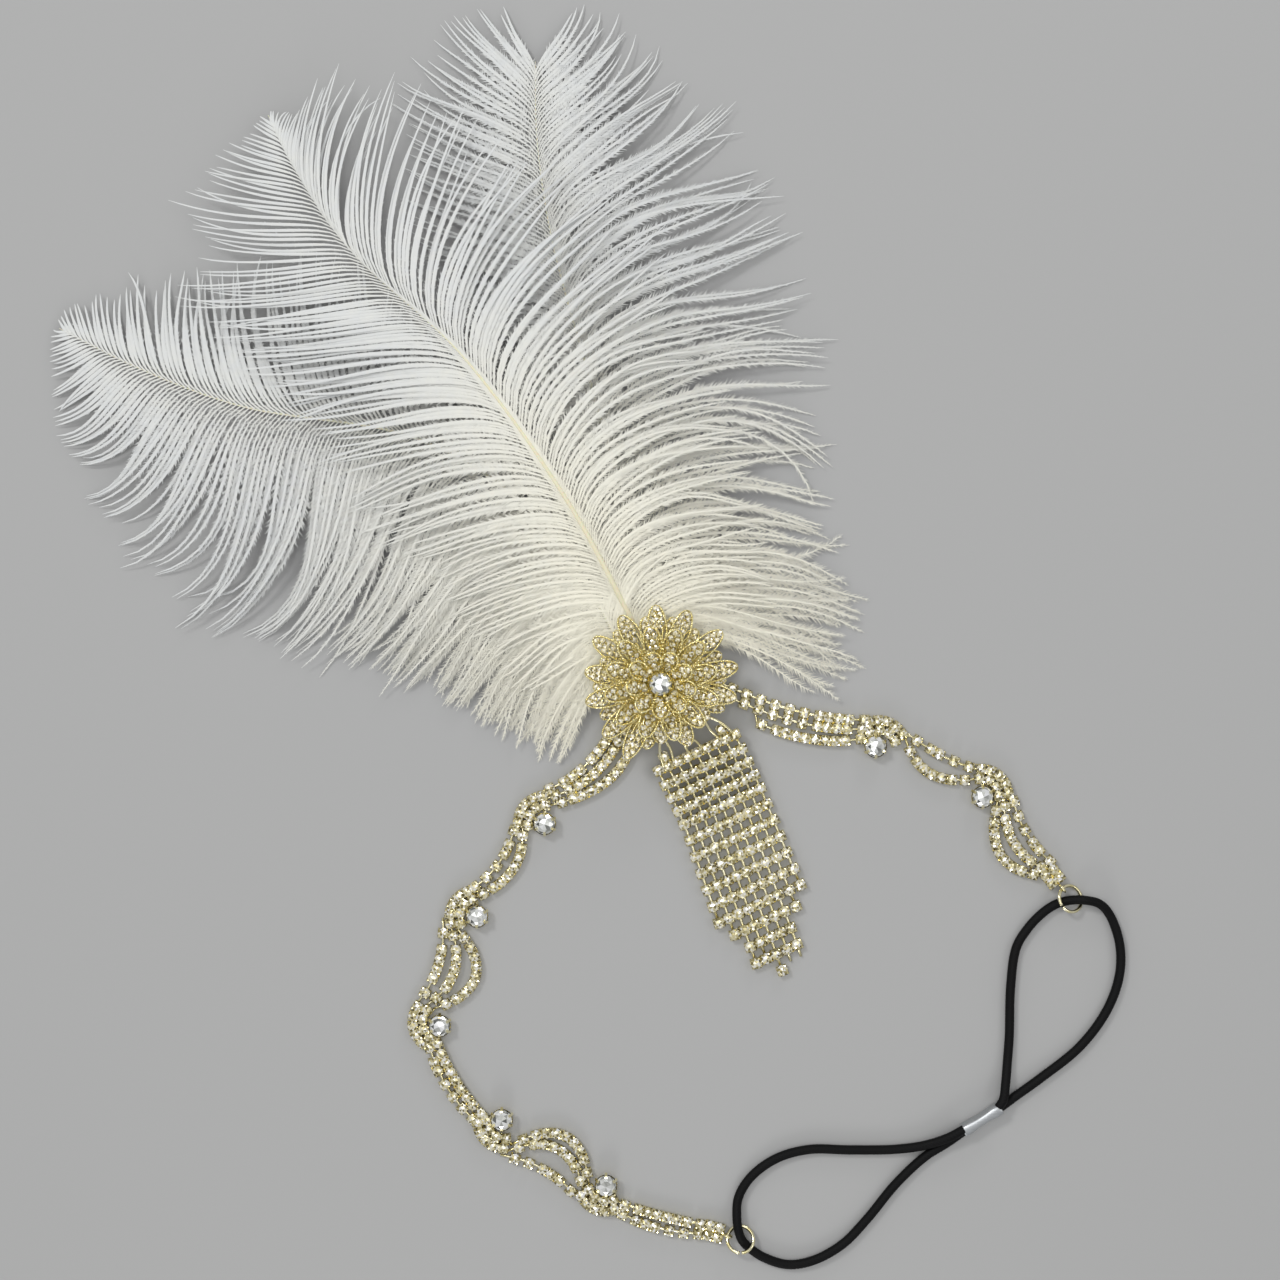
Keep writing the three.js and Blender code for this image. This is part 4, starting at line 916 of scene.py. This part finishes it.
brooch = {
    "startAngle": math.atan2(-20.6, 10.9),  # one petal points to the tassel
    "bow": 0.9,
    "seed": 3,
    "loose": (0.05, 0.05, 0.06),  # how far petals stray: heading in radians, share of reach, lift in radians
    "rimWire": 0.34, "rimPoints": 26,
    "blunt": 0.9,  # lower gives a leaf fuller ends
    "belly": 0.85,  # lower moves its widest place to the tip
    "innerWire": 0.25,
    "innerStart": 0.2, "innerEnd": 0.86, "innerWidth": 0.55,  # the inner leaf, in shares of its petal
    "ribEnd": 0.97, "ribDrop": 0.25,
    "grain": 0.44, "grainSpacing": 1.05,
    "hubFoot": 1.25, "hubTop": 0.9, "hubHeight": 1.5,  # the first two against the petals' inner reach
    "cupLift": 0.1,  # cups and hubs above the middle of the petals
    "stoneFit": 0.98, "stoneRise": 0.88,  # a small stone's size in its cup and its girdle's height, as shares
    "centreRadius": 3.3, "centreHeight": 13.6, "centreRise": 0.92,
    "ringStones": 11,  # small stones round the centre stone
    "ringRadius": 4.7, "ringHeight": 13.1, "ringLean": -12,
    # Petals, their inner and outer reach, width, lift in degrees, root height and turn, and the reach of
    # those that are cut short above the tassel.
    # Stones stand at a share along a petal and a place across it, each with its radius.
    "tiers": {
        "brooch_petals_outer": {
            "petals": 14, "inner": 6, "outer": 23.6, "width": 5.6, "lift": 6, "root": 7.4, "turn": 0,
            "cut": {13: 17, 0: 20.6, 1: 18.2},
            "stones": [(0.955, 0, 1.0), (0.86, 0.95, 0.9), (0.86, -0.95, 0.9), (0.75, 1.3, 0.8),
                       (0.76, 0, 0.95), (0.75, -1.3, 0.8), (0.64, 0.85, 0.8), (0.64, -0.85, 0.8),
                       (0.53, 0, 0.85)]},
        "brooch_petals_between": {
            "petals": 14, "inner": 6, "outer": 19.6, "width": 4.8, "lift": 1, "root": 7.2, "turn": 0.5,
            "cut": {12: 19, 13: 15, 0: 15.5},
            "stones": [(0.94, 0, 0.95), (0.82, 0.85, 0.85), (0.82, -0.85, 0.85), (0.69, 0, 0.9),
                       (0.56, 0, 0.8)]},
        "brooch_petals_middle": {
            "petals": 12, "inner": 4, "outer": 17.8, "width": 5.4, "lift": 20, "root": 9.2, "turn": 0.5,
            "cut": {},
            "stones": [(0.94, 0, 1.0), (0.81, 0.95, 0.9), (0.81, -0.95, 0.9), (0.67, 0, 0.95),
                       (0.54, 0.85, 0.8), (0.54, -0.85, 0.8), (0.4, 0, 0.8)]},
        "brooch_petals_inner": {
            "petals": 9, "inner": 3, "outer": 11.8, "width": 4.8, "lift": 38, "root": 11.4, "turn": 0.25,
            "cut": {},
            "stones": [(0.91, 0, 1.05), (0.71, 0.85, 0.9), (0.71, -0.85, 0.9), (0.5, 0, 0.95),
                       (0.31, 0, 0.8)]},
    },
}


def petalLie(tier, number):
    # Heading and lift of a petal, and how far it reaches
    turn, reach, lift = tier["strays"][number]
    heading = brooch["startAngle"] + 2 * math.pi * (number + tier["turn"]) / tier["petals"] + turn
    return heading, math.radians(tier["lift"]) + lift, tier["cut"].get(number, tier["outer"]) * (1 + reach)


def petalPoint(tier, number, along, across, above=0.0):
    angle, lift, outer = petalLie(tier, number)
    reach = along * (outer - tier["inner"])
    out = tier["inner"] + reach * math.cos(lift)
    x = out * math.cos(angle) - across * math.sin(angle)
    y = out * math.sin(angle) + across * math.cos(angle)
    z = tier["root"] + reach * math.sin(lift) + brooch["bow"] * math.sin(math.pi * along) + above
    return Vector((x, y, z))


def leafOutline(tier, number, low, high, width):
    # A leaf between two places along the petal, pointed at both ends
    outline = []
    for k in range(brooch["rimPoints"]):
        turn = 2 * math.pi * k / brooch["rimPoints"]
        share = (1 - math.cos(turn)) / 2
        across = width / 2 * math.copysign(abs(math.sin(turn))**brooch["blunt"], math.sin(turn))
        outline.append(petalPoint(tier, number, low + (high - low) * share**brooch["belly"], across))
    return outline


def makeTier(node, tier):
    wires, grains, placings = [], [], []
    for number in range(tier["petals"]):
        heading, lift, _ = petalLie(tier, number)
        rim = leafOutline(tier, number, 0.0, 1.0, tier["width"])
        wires.append(wire(rim, True))
        inner = leafOutline(tier, number, brooch["innerStart"], brooch["innerEnd"],
                            tier["width"] * brooch["innerWidth"])
        wires.append(wire(inner, True, brooch["innerWire"] / brooch["rimWire"]))
        rib = [petalPoint(tier, number, along, 0, -brooch["ribDrop"])
               for along in np.linspace(0, brooch["ribEnd"], 8)]
        wires.append(wire(rib))
        edge = smoothRoute([*rim, rim[0]], brooch["grainSpacing"])
        grains += [placing(point + [0, 0, brooch["rimWire"]]) for point in edge[:-1]]
        for along, across, radius in tier["stones"]:
            seat = placing(petalPoint(tier, number, along, across, brooch["cupLift"]), heading, lift)
            placings.append((seat, radius))
    hub = bmesh.new()
    bmesh.ops.create_cone(hub, cap_ends=True, segments=32, radius1=tier["inner"] * brooch["hubFoot"] * mm,
                          radius2=tier["inner"] * brooch["hubTop"] * mm, depth=brooch["hubHeight"] * mm)
    bmesh.ops.translate(hub, vec=(0, 0, (tier["root"] + brooch["cupLift"]) * mm), verts=hub.verts)
    cups = scatter("cups", roundCup(1.0, 4), [seat @ Matrix.Scale(radius, 4) for seat, radius in placings])
    parts = [wireMesh(node, wires, brooch["rimWire"]), finished(hub, "hub"), cups,
             scatter("grains", bead(brooch["grain"]), grains)]
    nodes = [node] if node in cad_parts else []
    addPiece(node + "_pierced", joinMeshes(node, parts), gilt, nodes)
    return placings


def makeBrooch():
    seats = []
    rng = np.random.default_rng(brooch["seed"])
    for node, tier in brooch["tiers"].items():
        tier["strays"] = rng.uniform(-1, 1, (tier["petals"], 3)) * brooch["loose"]
        seats += makeTier(node, tier)
    centre = [placing((0, 0, brooch["centreHeight"]))]
    ringSeats = []
    for k in range(brooch["ringStones"]):
        angle = 2 * math.pi * k / brooch["ringStones"]
        spot = (brooch["ringRadius"] * math.cos(angle), brooch["ringRadius"] * math.sin(angle),
                brooch["ringHeight"])
        ringSeats.append(placing(spot, angle, math.radians(brooch["ringLean"])))
    setting = joinMeshes("centre", [scatter("collet", roundCup(brooch["centreRadius"], 8, 24), centre),
                                    scatter("ring", roundCup(1.0, 4), ringSeats)])
    addPiece("brooch_centre_setting", setting, gilt)
    seats += [(seat, 1.0) for seat in ringSeats]
    petalStone = cutStone("petalStone", 1.0, smallCut)
    rise = Matrix.Translation((0, 0, brooch["stoneRise"] * mm))
    petalStones = [seat @ Matrix.Scale(radius * brooch["stoneFit"], 4) @ rise for seat, radius in seats]
    addStones("brooch_small_stones", scatter("brooch_small_stones", petalStone, petalStones), petalCrystal)
    centreStone = cutStone("centreStone", brooch["centreRadius"] * brooch["stoneFit"], largeCut)
    raised = [centre[0] @ Matrix.Translation((0, 0, brooch["centreRise"] * brooch["centreRadius"] * mm))]
    addStones("brooch_centre_stone_cut", scatter("centreStone", centreStone, raised), clearCrystal,
              ["brooch_centre_stone"])
    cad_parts["brooch_back_plate"].data.materials.clear()
    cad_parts["brooch_back_plate"].data.materials.append(gilt)
    print("brooch made with", len(petalStones), "small stones")


makeBrooch()


# Tassel: a bar of stones under the brooch and nine strands of cup chain

tassel = {
    "barStart": (-0.5, -26), "barEnd": (22.3, -15.2), "barHeight": 4.4,
    "strandStones": [11, 12, 14, 14, 15, 14, 14, 12, 11],  # with the bar's own stone
    "closeRows": 4, "closePitch": 4.5, "openPitch": 5.25,
    "spread": 3.35, "firstFoot": -6.4, "footWay": (0.322, -0.947),
    "floorRow": 1.29,  # height of a row's middle above the floor
    "settle": (0.45, 0.05, 0),  # a strand's height above that after its close rows, halfway on, at its foot
    "rowWidth": 2.8, "startGap": 0.3,  # and the gap from the bar's row to a strand
    "routeStep": 0.5,
    "upperStones": (1, 7),  # the bar's stones that have another above them
    "cupDrop": 1.3,  # a cup's bottom below the row's middle
    "cupSize": 1.05,  # against the band's
    "wobble": 0.05, "seed": 7,  # radians that a cup is turned off its strand
    "link": 0.42,
    # How far links lie below the row's middle, as shares of the cup's drop
    "barLink": 0.4, "firstLink": 0.5, "strandLink": 0.55, "crossLink": 0.3,
    "tails": [5, 6],  # strands that end in a bare link
    "tail": 4.0,
    # Wires of the loops that hold the bar: petal, place along the bar in stones, and the side it bows to
    "hangers": [(13, 0.6, -1), (13, 1.6, 1), (0, 3.4, -1), (0, 4.6, 1), (1, 6.6, -1), (1, 8, 1)],
    "hangerAt": 0.8, "hangerUnder": 0.6,  # along the petal as a share, and below it
    "hangerBow": 0.9, "hangerRise": 0.4, "hangerStep": 0.7,
}


def frameOf(route):
    # Heading and pitch at each point of a route
    along = np.gradient(np.asarray(route), axis=0)
    return np.arctan2(along[:, 1], along[:, 0]), np.arctan2(along[:, 2], np.hypot(along[:, 0], along[:, 1]))


def makeTassel():
    start, end = (np.array([*tassel[key], tassel["barHeight"]]) for key in ("barStart", "barEnd"))
    count = len(tassel["strandStones"])
    barWay = (end - start) / np.linalg.norm(end - start)
    barDown = np.array([barWay[1], -barWay[0], 0])
    footWay = np.array([*tassel["footWay"], 0])
    footAcross = np.array([-footWay[1], footWay[0], 0])
    barHeading = math.atan2(barWay[1], barWay[0])
    drop = np.array([0, 0, tassel["cupDrop"]])
    onBar = [start + (end - start) * k / (count - 1) for k in range(count)]
    cups = [placing(point - drop, barHeading) for point in onBar]
    above = [onBar[k] - barDown * stones["cupWidth"] for k in tassel["upperStones"]]
    cups += [placing(point - drop, barHeading) for point in above]
    links = [wire([point - drop * tassel["barLink"] for point in (start, end)])]
    petals = brooch["tiers"]["brooch_petals_outer"]
    for number, place, bow in tassel["hangers"]:
        foot = start + (end - start) * place / (count - 1)
        top = np.array(petalPoint(petals, number, tassel["hangerAt"], 0, -tassel["hangerUnder"]))
        bent = (foot + top) / 2 + barWay * bow * tassel["hangerBow"] + [0, 0, tassel["hangerRise"]]
        links.append(wire(smoothRoute([foot, bent, top], tassel["hangerStep"])))
    addChain("tassel_bar_cups", cups, links, tassel["link"], ["tassel_bar"])
    crystals = seated(cups)
    strandCups, strandLinks, closeRows = [], [], []
    rng = np.random.default_rng(tassel["seed"])
    startAt = tassel["rowWidth"] / 2 + tassel["startGap"]
    for strand, number in enumerate(tassel["strandStones"]):
        near = onBar[strand] + barDown * startAt
        close = onBar[strand] + barDown * tassel["closeRows"] * tassel["closePitch"]
        across = tassel["firstFoot"] + strand * tassel["spread"]
        openLength = (number - 1 - tassel["closeRows"]) * tassel["openPitch"]
        foot = footAcross * across + footWay * (close @ footWay + openLength + tassel["rowWidth"] / 2)
        halfway = (close + foot) / 2
        close[2], halfway[2], foot[2] = (tassel["floorRow"] + more for more in tassel["settle"])
        route = smoothRoute([near, close, halfway, foot], tassel["routeStep"])
        rows = np.arange(1, number)
        closeOnes = np.minimum(rows, tassel["closeRows"])
        distances = closeOnes * tassel["closePitch"] + (rows - closeOnes) * tassel["openPitch"] - startAt
        points = pointsAlong(route, distances)
        heading, pitch = frameOf(points)
        wobble = rng.normal(0, tassel["wobble"], len(points))
        strandCups += [placing(point - drop, turn + yaw, slope, tassel["cupSize"])
                       for point, turn, slope, yaw in zip(points, heading, pitch, wobble)]
        chain = [near - barDown - drop * tassel["firstLink"], *(points - drop * tassel["strandLink"])]
        if strand in tassel["tails"]:
            chain.append(chain[-1] + footWay * tassel["tail"])
        strandLinks.append(wire(chain))
        closeRows.append(points[:tassel["closeRows"]] - drop * tassel["crossLink"])
    strandLinks += [wire(row) for row in np.stack(closeRows, 1)]  # the close rows are joined across
    nodes = [f"tassel_strand_{k + 1}" for k in range(count)]
    addChain("tassel_strands_cups", strandCups, strandLinks, tassel["link"], nodes)
    crystals += seated(strandCups)
    addStones("tassel_stones", scatter("tassel_stones", chainStone, crystals), crystal)
    print("tassel made with", len(crystals), "stones")


makeTassel()


# Band: rows of cup chain in scallops between clusters, with a large stone inside each cluster

band = {
    "pitches": [3.9, 3.3, 3.2],  # between stones of a row on the average, outer row first
    "openPitches": [4.1, 4.1, 3.2],  # the same where a side starts with bare links
    "touching": 3.0,  # between stones that touch
    "bareLink": 1.6,  # what a bare link adds
    "endPitch": 2.6,
    "clusterLength": 11.4, "endCluster": 6,
    "clusterPitch": 2.95,
    "clusterArcs": [(5.2, 4), (8.1, 5)],  # radius about the large stone, and stones
    "clusterLean": 0.6,  # how far a cluster follows its large stone along the band
    # From a row's ends to its first and last stones: at the brooch, after a cluster, before one, at the ring
    "firstStone": 1.5, "nextStone": 2.1, "lastStone": 4.1, "ringStone": 2.6,
    "rowOverlap": 1.2,
    "rowPoints": 60, "latePoints": 50,  # of a row's route, and of a late row's
    "seed": 9,
    "gap": 0.3,
    "cupDrop": 1.27,
    "link": 0.36, "linkDrop": 0.6,  # and how far it lies below the row's middle
    "linkReach": 2.4,  # the first link's, before a row
    "rowHeight": 1.29,
    "largeRadius": 3.45,
    "largeSetting": 0.93, "largeStone": 0.9, "largeRise": 0.86,  # sizes, and a girdle's height, against that
    "settingFoot": 0.1,  # above the floor
    "sides": {
        "left": {
            "inward": 1,
            # x, y, and the large stone's place along the band and inwards
            "stations": [(-10.15, -11.97, 0, 0), (-38.5, -37.8, 0.4, 5.8), (-60.5, -67.6, -0.9, 6.1),
                         (-71.8, -101, 2, 5.8), (-49.5, -136.3, -2.6, 5.8), (-18.9, -155.2, 0.5, 5.9),
                         (16.1, -164.1, 0, 0)],
            # Sag of each row and its place along the section, outer row first, and where a late row starts
            "sections": [[(3.8, 0.6), (4.7, 0.5), (6.4, 0.35)], [(3, 0.5), (4.9, 0.42)],
                         [(2.4, 0.5), (4.9, 0.5), (8.9, 0.45)], [(-2.6, 0.5), (-1.9, 0.5)],
                         [(2.4, 0.5), (7.4, 0.45), (9.2, 0.47)], [(-1.8, 0.5), (-0.6, 0.5)]],
            "ring": (24, -166.2, 270),
            "openStart": 0,
        },
        "right": {
            "inward": -1,
            "stations": [(15.6, -1.6, 0, 0), (69, -14.4, -2.9, 5.8), (99.9, -29.4, 0.3, 5.8),
                         (117.4, -57.8, 0, 0)],
            "sections": [[(3.3, 0.6), (3.9, 0.6), (5.4, 0.6, 16)], [(1.1, 0.5), (4.9, 0.4)],
                         [(2.4, 0.5), (4.6, 0.5), (7.2, 0.55)]],
            "ring": (122.6, -64.4, 215),
            "openStart": 7,  # bare links where the band leaves the brooch
        },
    },
}

ring = {
    "radius": 3.9, "wire": 0.52,
    "height": 2.3, "rise": 1.8,  # of its middle, and of one side above that
    "cut": 4, "step": 8,  # degrees on each side of its opening, and between its points
    "eyeRadius": 1.2, "eyeWire": 0.38, "eyePoints": 18,
}


def atRing(side, number):
    return number == len(side["stations"]) - 1


def flatWay(start, end):
    way = np.subtract(end[:2], start[:2])
    return way / np.linalg.norm(way)


def stationWay(side, number):
    stations = side["stations"]
    before, here = stations[max(number - 1, 0)], stations[number]
    after = stations[min(number + 1, len(stations) - 1)]
    if number == 0:
        return flatWay(here, after)
    if atRing(side, number):
        return flatWay(here, side["ring"])
    way = flatWay(before, here) + flatWay(here, after)
    return way / np.linalg.norm(way)


def inwardOf(side, way):
    return np.array([-way[1], way[0]]) * side["inward"]


def bandRow(side, number, row, place, count):
    # One row of a section, as points at even steps
    start, end = (np.array(side["stations"][k][:2]) for k in (number - 1, number))
    way = flatWay(start, end)
    inward = inwardOf(side, way)
    sag, at = row[:2]
    offset = inward * (place - (count - 1) / 2) * band["endPitch"]
    startMargin = 0 if number == 1 else band["clusterLength"] / 2 + 2 * band["gap"]
    endMargin = band["endCluster" if atRing(side, number) else "clusterLength"] / 2 - band["rowOverlap"]
    start = start + way * startMargin + offset
    end = end - way * endMargin + offset
    bend = start + (end - start) * at + inward * 2 * sag
    t = np.linspace(0, 1, band["rowPoints"])[:, None]
    flat = (1 - t)**2 * start + 2 * t * (1 - t) * bend + t**2 * end
    return np.column_stack([flat, np.full(len(flat), band["rowHeight"])])


def clusterCups(side, number):
    # Two arcs of stones round the large stone, and at the ring a block of four
    way = stationWay(side, number)
    inward = inwardOf(side, way)
    x, y, along, inwards = side["stations"][number]
    height, pitch = band["rowHeight"] - band["cupDrop"], band["clusterPitch"]
    cups = []
    if atRing(side, number):
        for k, row in ((-0.5, -0.5), (-0.5, 0.5), (0.5, -0.5), (0.5, 0.5)):
            spot = np.array([x, y]) + way * k * pitch + inward * row * pitch
            cups.append(placing((*spot, height), math.atan2(way[1], way[0])))
        return cups
    pivot = np.array([x, y]) + way * along * band["clusterLean"] + inward * inwards
    for radius, count in band["clusterArcs"]:
        for k in range(count):
            angle = (k - (count - 1) / 2) * pitch / radius
            outward = way * math.sin(angle) - inward * math.cos(angle)
            cups.append(placing((*(pivot + outward * radius), height), math.atan2(outward[1], outward[0])))
    return cups


def stoneDistances(length, place, side, number, rng):
    # Stones along a row: touching in groups with a bare link between, and a bare link next to each end stone
    first = band["firstStone" if number == 1 else "nextStone"]
    room = length - first - band["ringStone" if atRing(side, number) else "lastStone"]
    openStart = side["openStart"] if number == 1 else 0
    count = max(3, round(room / band["openPitches" if openStart else "pitches"][place]) + 1)
    bare = max(2, round((room - (count - 1) * band["touching"]) / band["bareLink"]))
    order = rng.permutation(np.arange(1, count - 2))
    wanted = [0, count - 2, *range(1, openStart), *order]
    joints = np.full(count - 1, band["touching"])
    chosen = list(dict.fromkeys(wanted))[:bare]
    joints[chosen] += (room - joints.sum()) / len(chosen)
    return first + np.concatenate([[0], np.cumsum(joints)])


def largePlace(side, number):
    way = stationWay(side, number)
    x, y, along, inwards = side["stations"][number]
    return np.array([x, y]) + way * along + inwardOf(side, way) * inwards


def ringPoints(place, high, radius):
    # A ring leaning so that one side of it is raised
    angles = np.radians(np.arange(ring["cut"], 360 - ring["cut"] + 1, ring["step"]))
    rise = ring["rise"] / ring["radius"]
    level = math.sqrt(1 - rise**2)
    toward = np.array([math.cos(high), math.sin(high), 0])
    beside = np.array([-toward[1], toward[0], 0])
    raised = toward * level + [0, 0, rise]
    return [place + radius * (np.cos(a) * raised + np.sin(a) * beside) for a in angles]


def makeBand(sideName, side):
    crystals, large = [], []
    rng = np.random.default_rng(band["seed"])
    for number, rows in enumerate(side["sections"], 1):
        cups, links = clusterCups(side, number), []
        for place, row in enumerate(rows):
            route = bandRow(side, number, row, place, len(rows))
            if len(row) > 2:
                route = pointsAlong(route, np.linspace(row[2], routeLength(route), band["latePoints"]))
            points = pointsAlong(route, stoneDistances(routeLength(route), place, side, number, rng))
            heading = frameOf(points)[0]
            cups += [placing(point - [0, 0, band["cupDrop"]], turn) for point, turn in zip(points, heading)]
            back = route[0] - route[1]
            hold = route[0] + back * (band["linkReach"] / np.linalg.norm(back))
            if len(row) > 2:  # a late row hangs from the row outside it
                hold = outside[np.argmin(np.linalg.norm(outside - hold, axis=1))]
            links.append(wire(np.vstack([hold, route[::4], route[-1]]) - [0, 0, band["linkDrop"]]))
            outside = route
        if atRing(side, number):
            way = stationWay(side, number)
            x, y, high = side["ring"]
            eye = np.array([x - way[0] * ring["radius"], y - way[1] * ring["radius"], 0])
            lean = math.atan2(-way[1], -way[0]) - math.radians(high)
            eye[2] = ring["height"] + ring["rise"] * math.cos(lean)
            angles = np.linspace(0, 2 * np.pi, ring["eyePoints"], endpoint=False)
            loop = [eye + ring["eyeRadius"] * np.array([way[0] * np.cos(a), way[1] * np.cos(a), np.sin(a)])
                    for a in angles]
            links.append(wire(loop, True, ring["eyeWire"] / band["link"]))
        else:
            large.append(largePlace(side, number))
        node = f"band_{sideName}_{number}"
        addChain(node + "_cups", cups, links, band["link"], [node])
        crystals += seated(cups)
    addStones(f"band_{sideName}_stones", scatter("stones", chainStone, crystals), crystal)
    radius = band["largeRadius"]
    largeCup = roundCup(radius * band["largeSetting"], 6, 24)
    seats = [placing((*spot, band["settingFoot"])) for spot in large]
    addPiece(f"band_{sideName}_large_settings", scatter("collets", largeCup, seats), chainGilt)
    brilliant = cutStone("brilliant", radius * band["largeStone"], largeCut)
    girdles = [seat @ Matrix.Translation((0, 0, band["largeRise"] * radius * mm)) for seat in seats]
    nodes = [f"band_stone_{sideName}_{k + 1}" for k in range(len(large))]
    addStones(f"band_{sideName}_large_stones", scatter("brilliants", brilliant, girdles), clearCrystal, nodes)
    x, y, high = side["ring"]
    hoop = ringPoints(np.array([x, y, ring["height"]]), math.radians(high), ring["radius"])
    node = f"jump_ring_{sideName}"
    addPiece(node + "_wire", wireMesh(node, [wire(hoop)], ring["wire"], 4), chainGilt, [node])
    print("band", sideName, "made with", len(crystals), "small stones and", len(large), "large ones")


for sideName, side in band["sides"].items():
    makeBand(sideName, side)
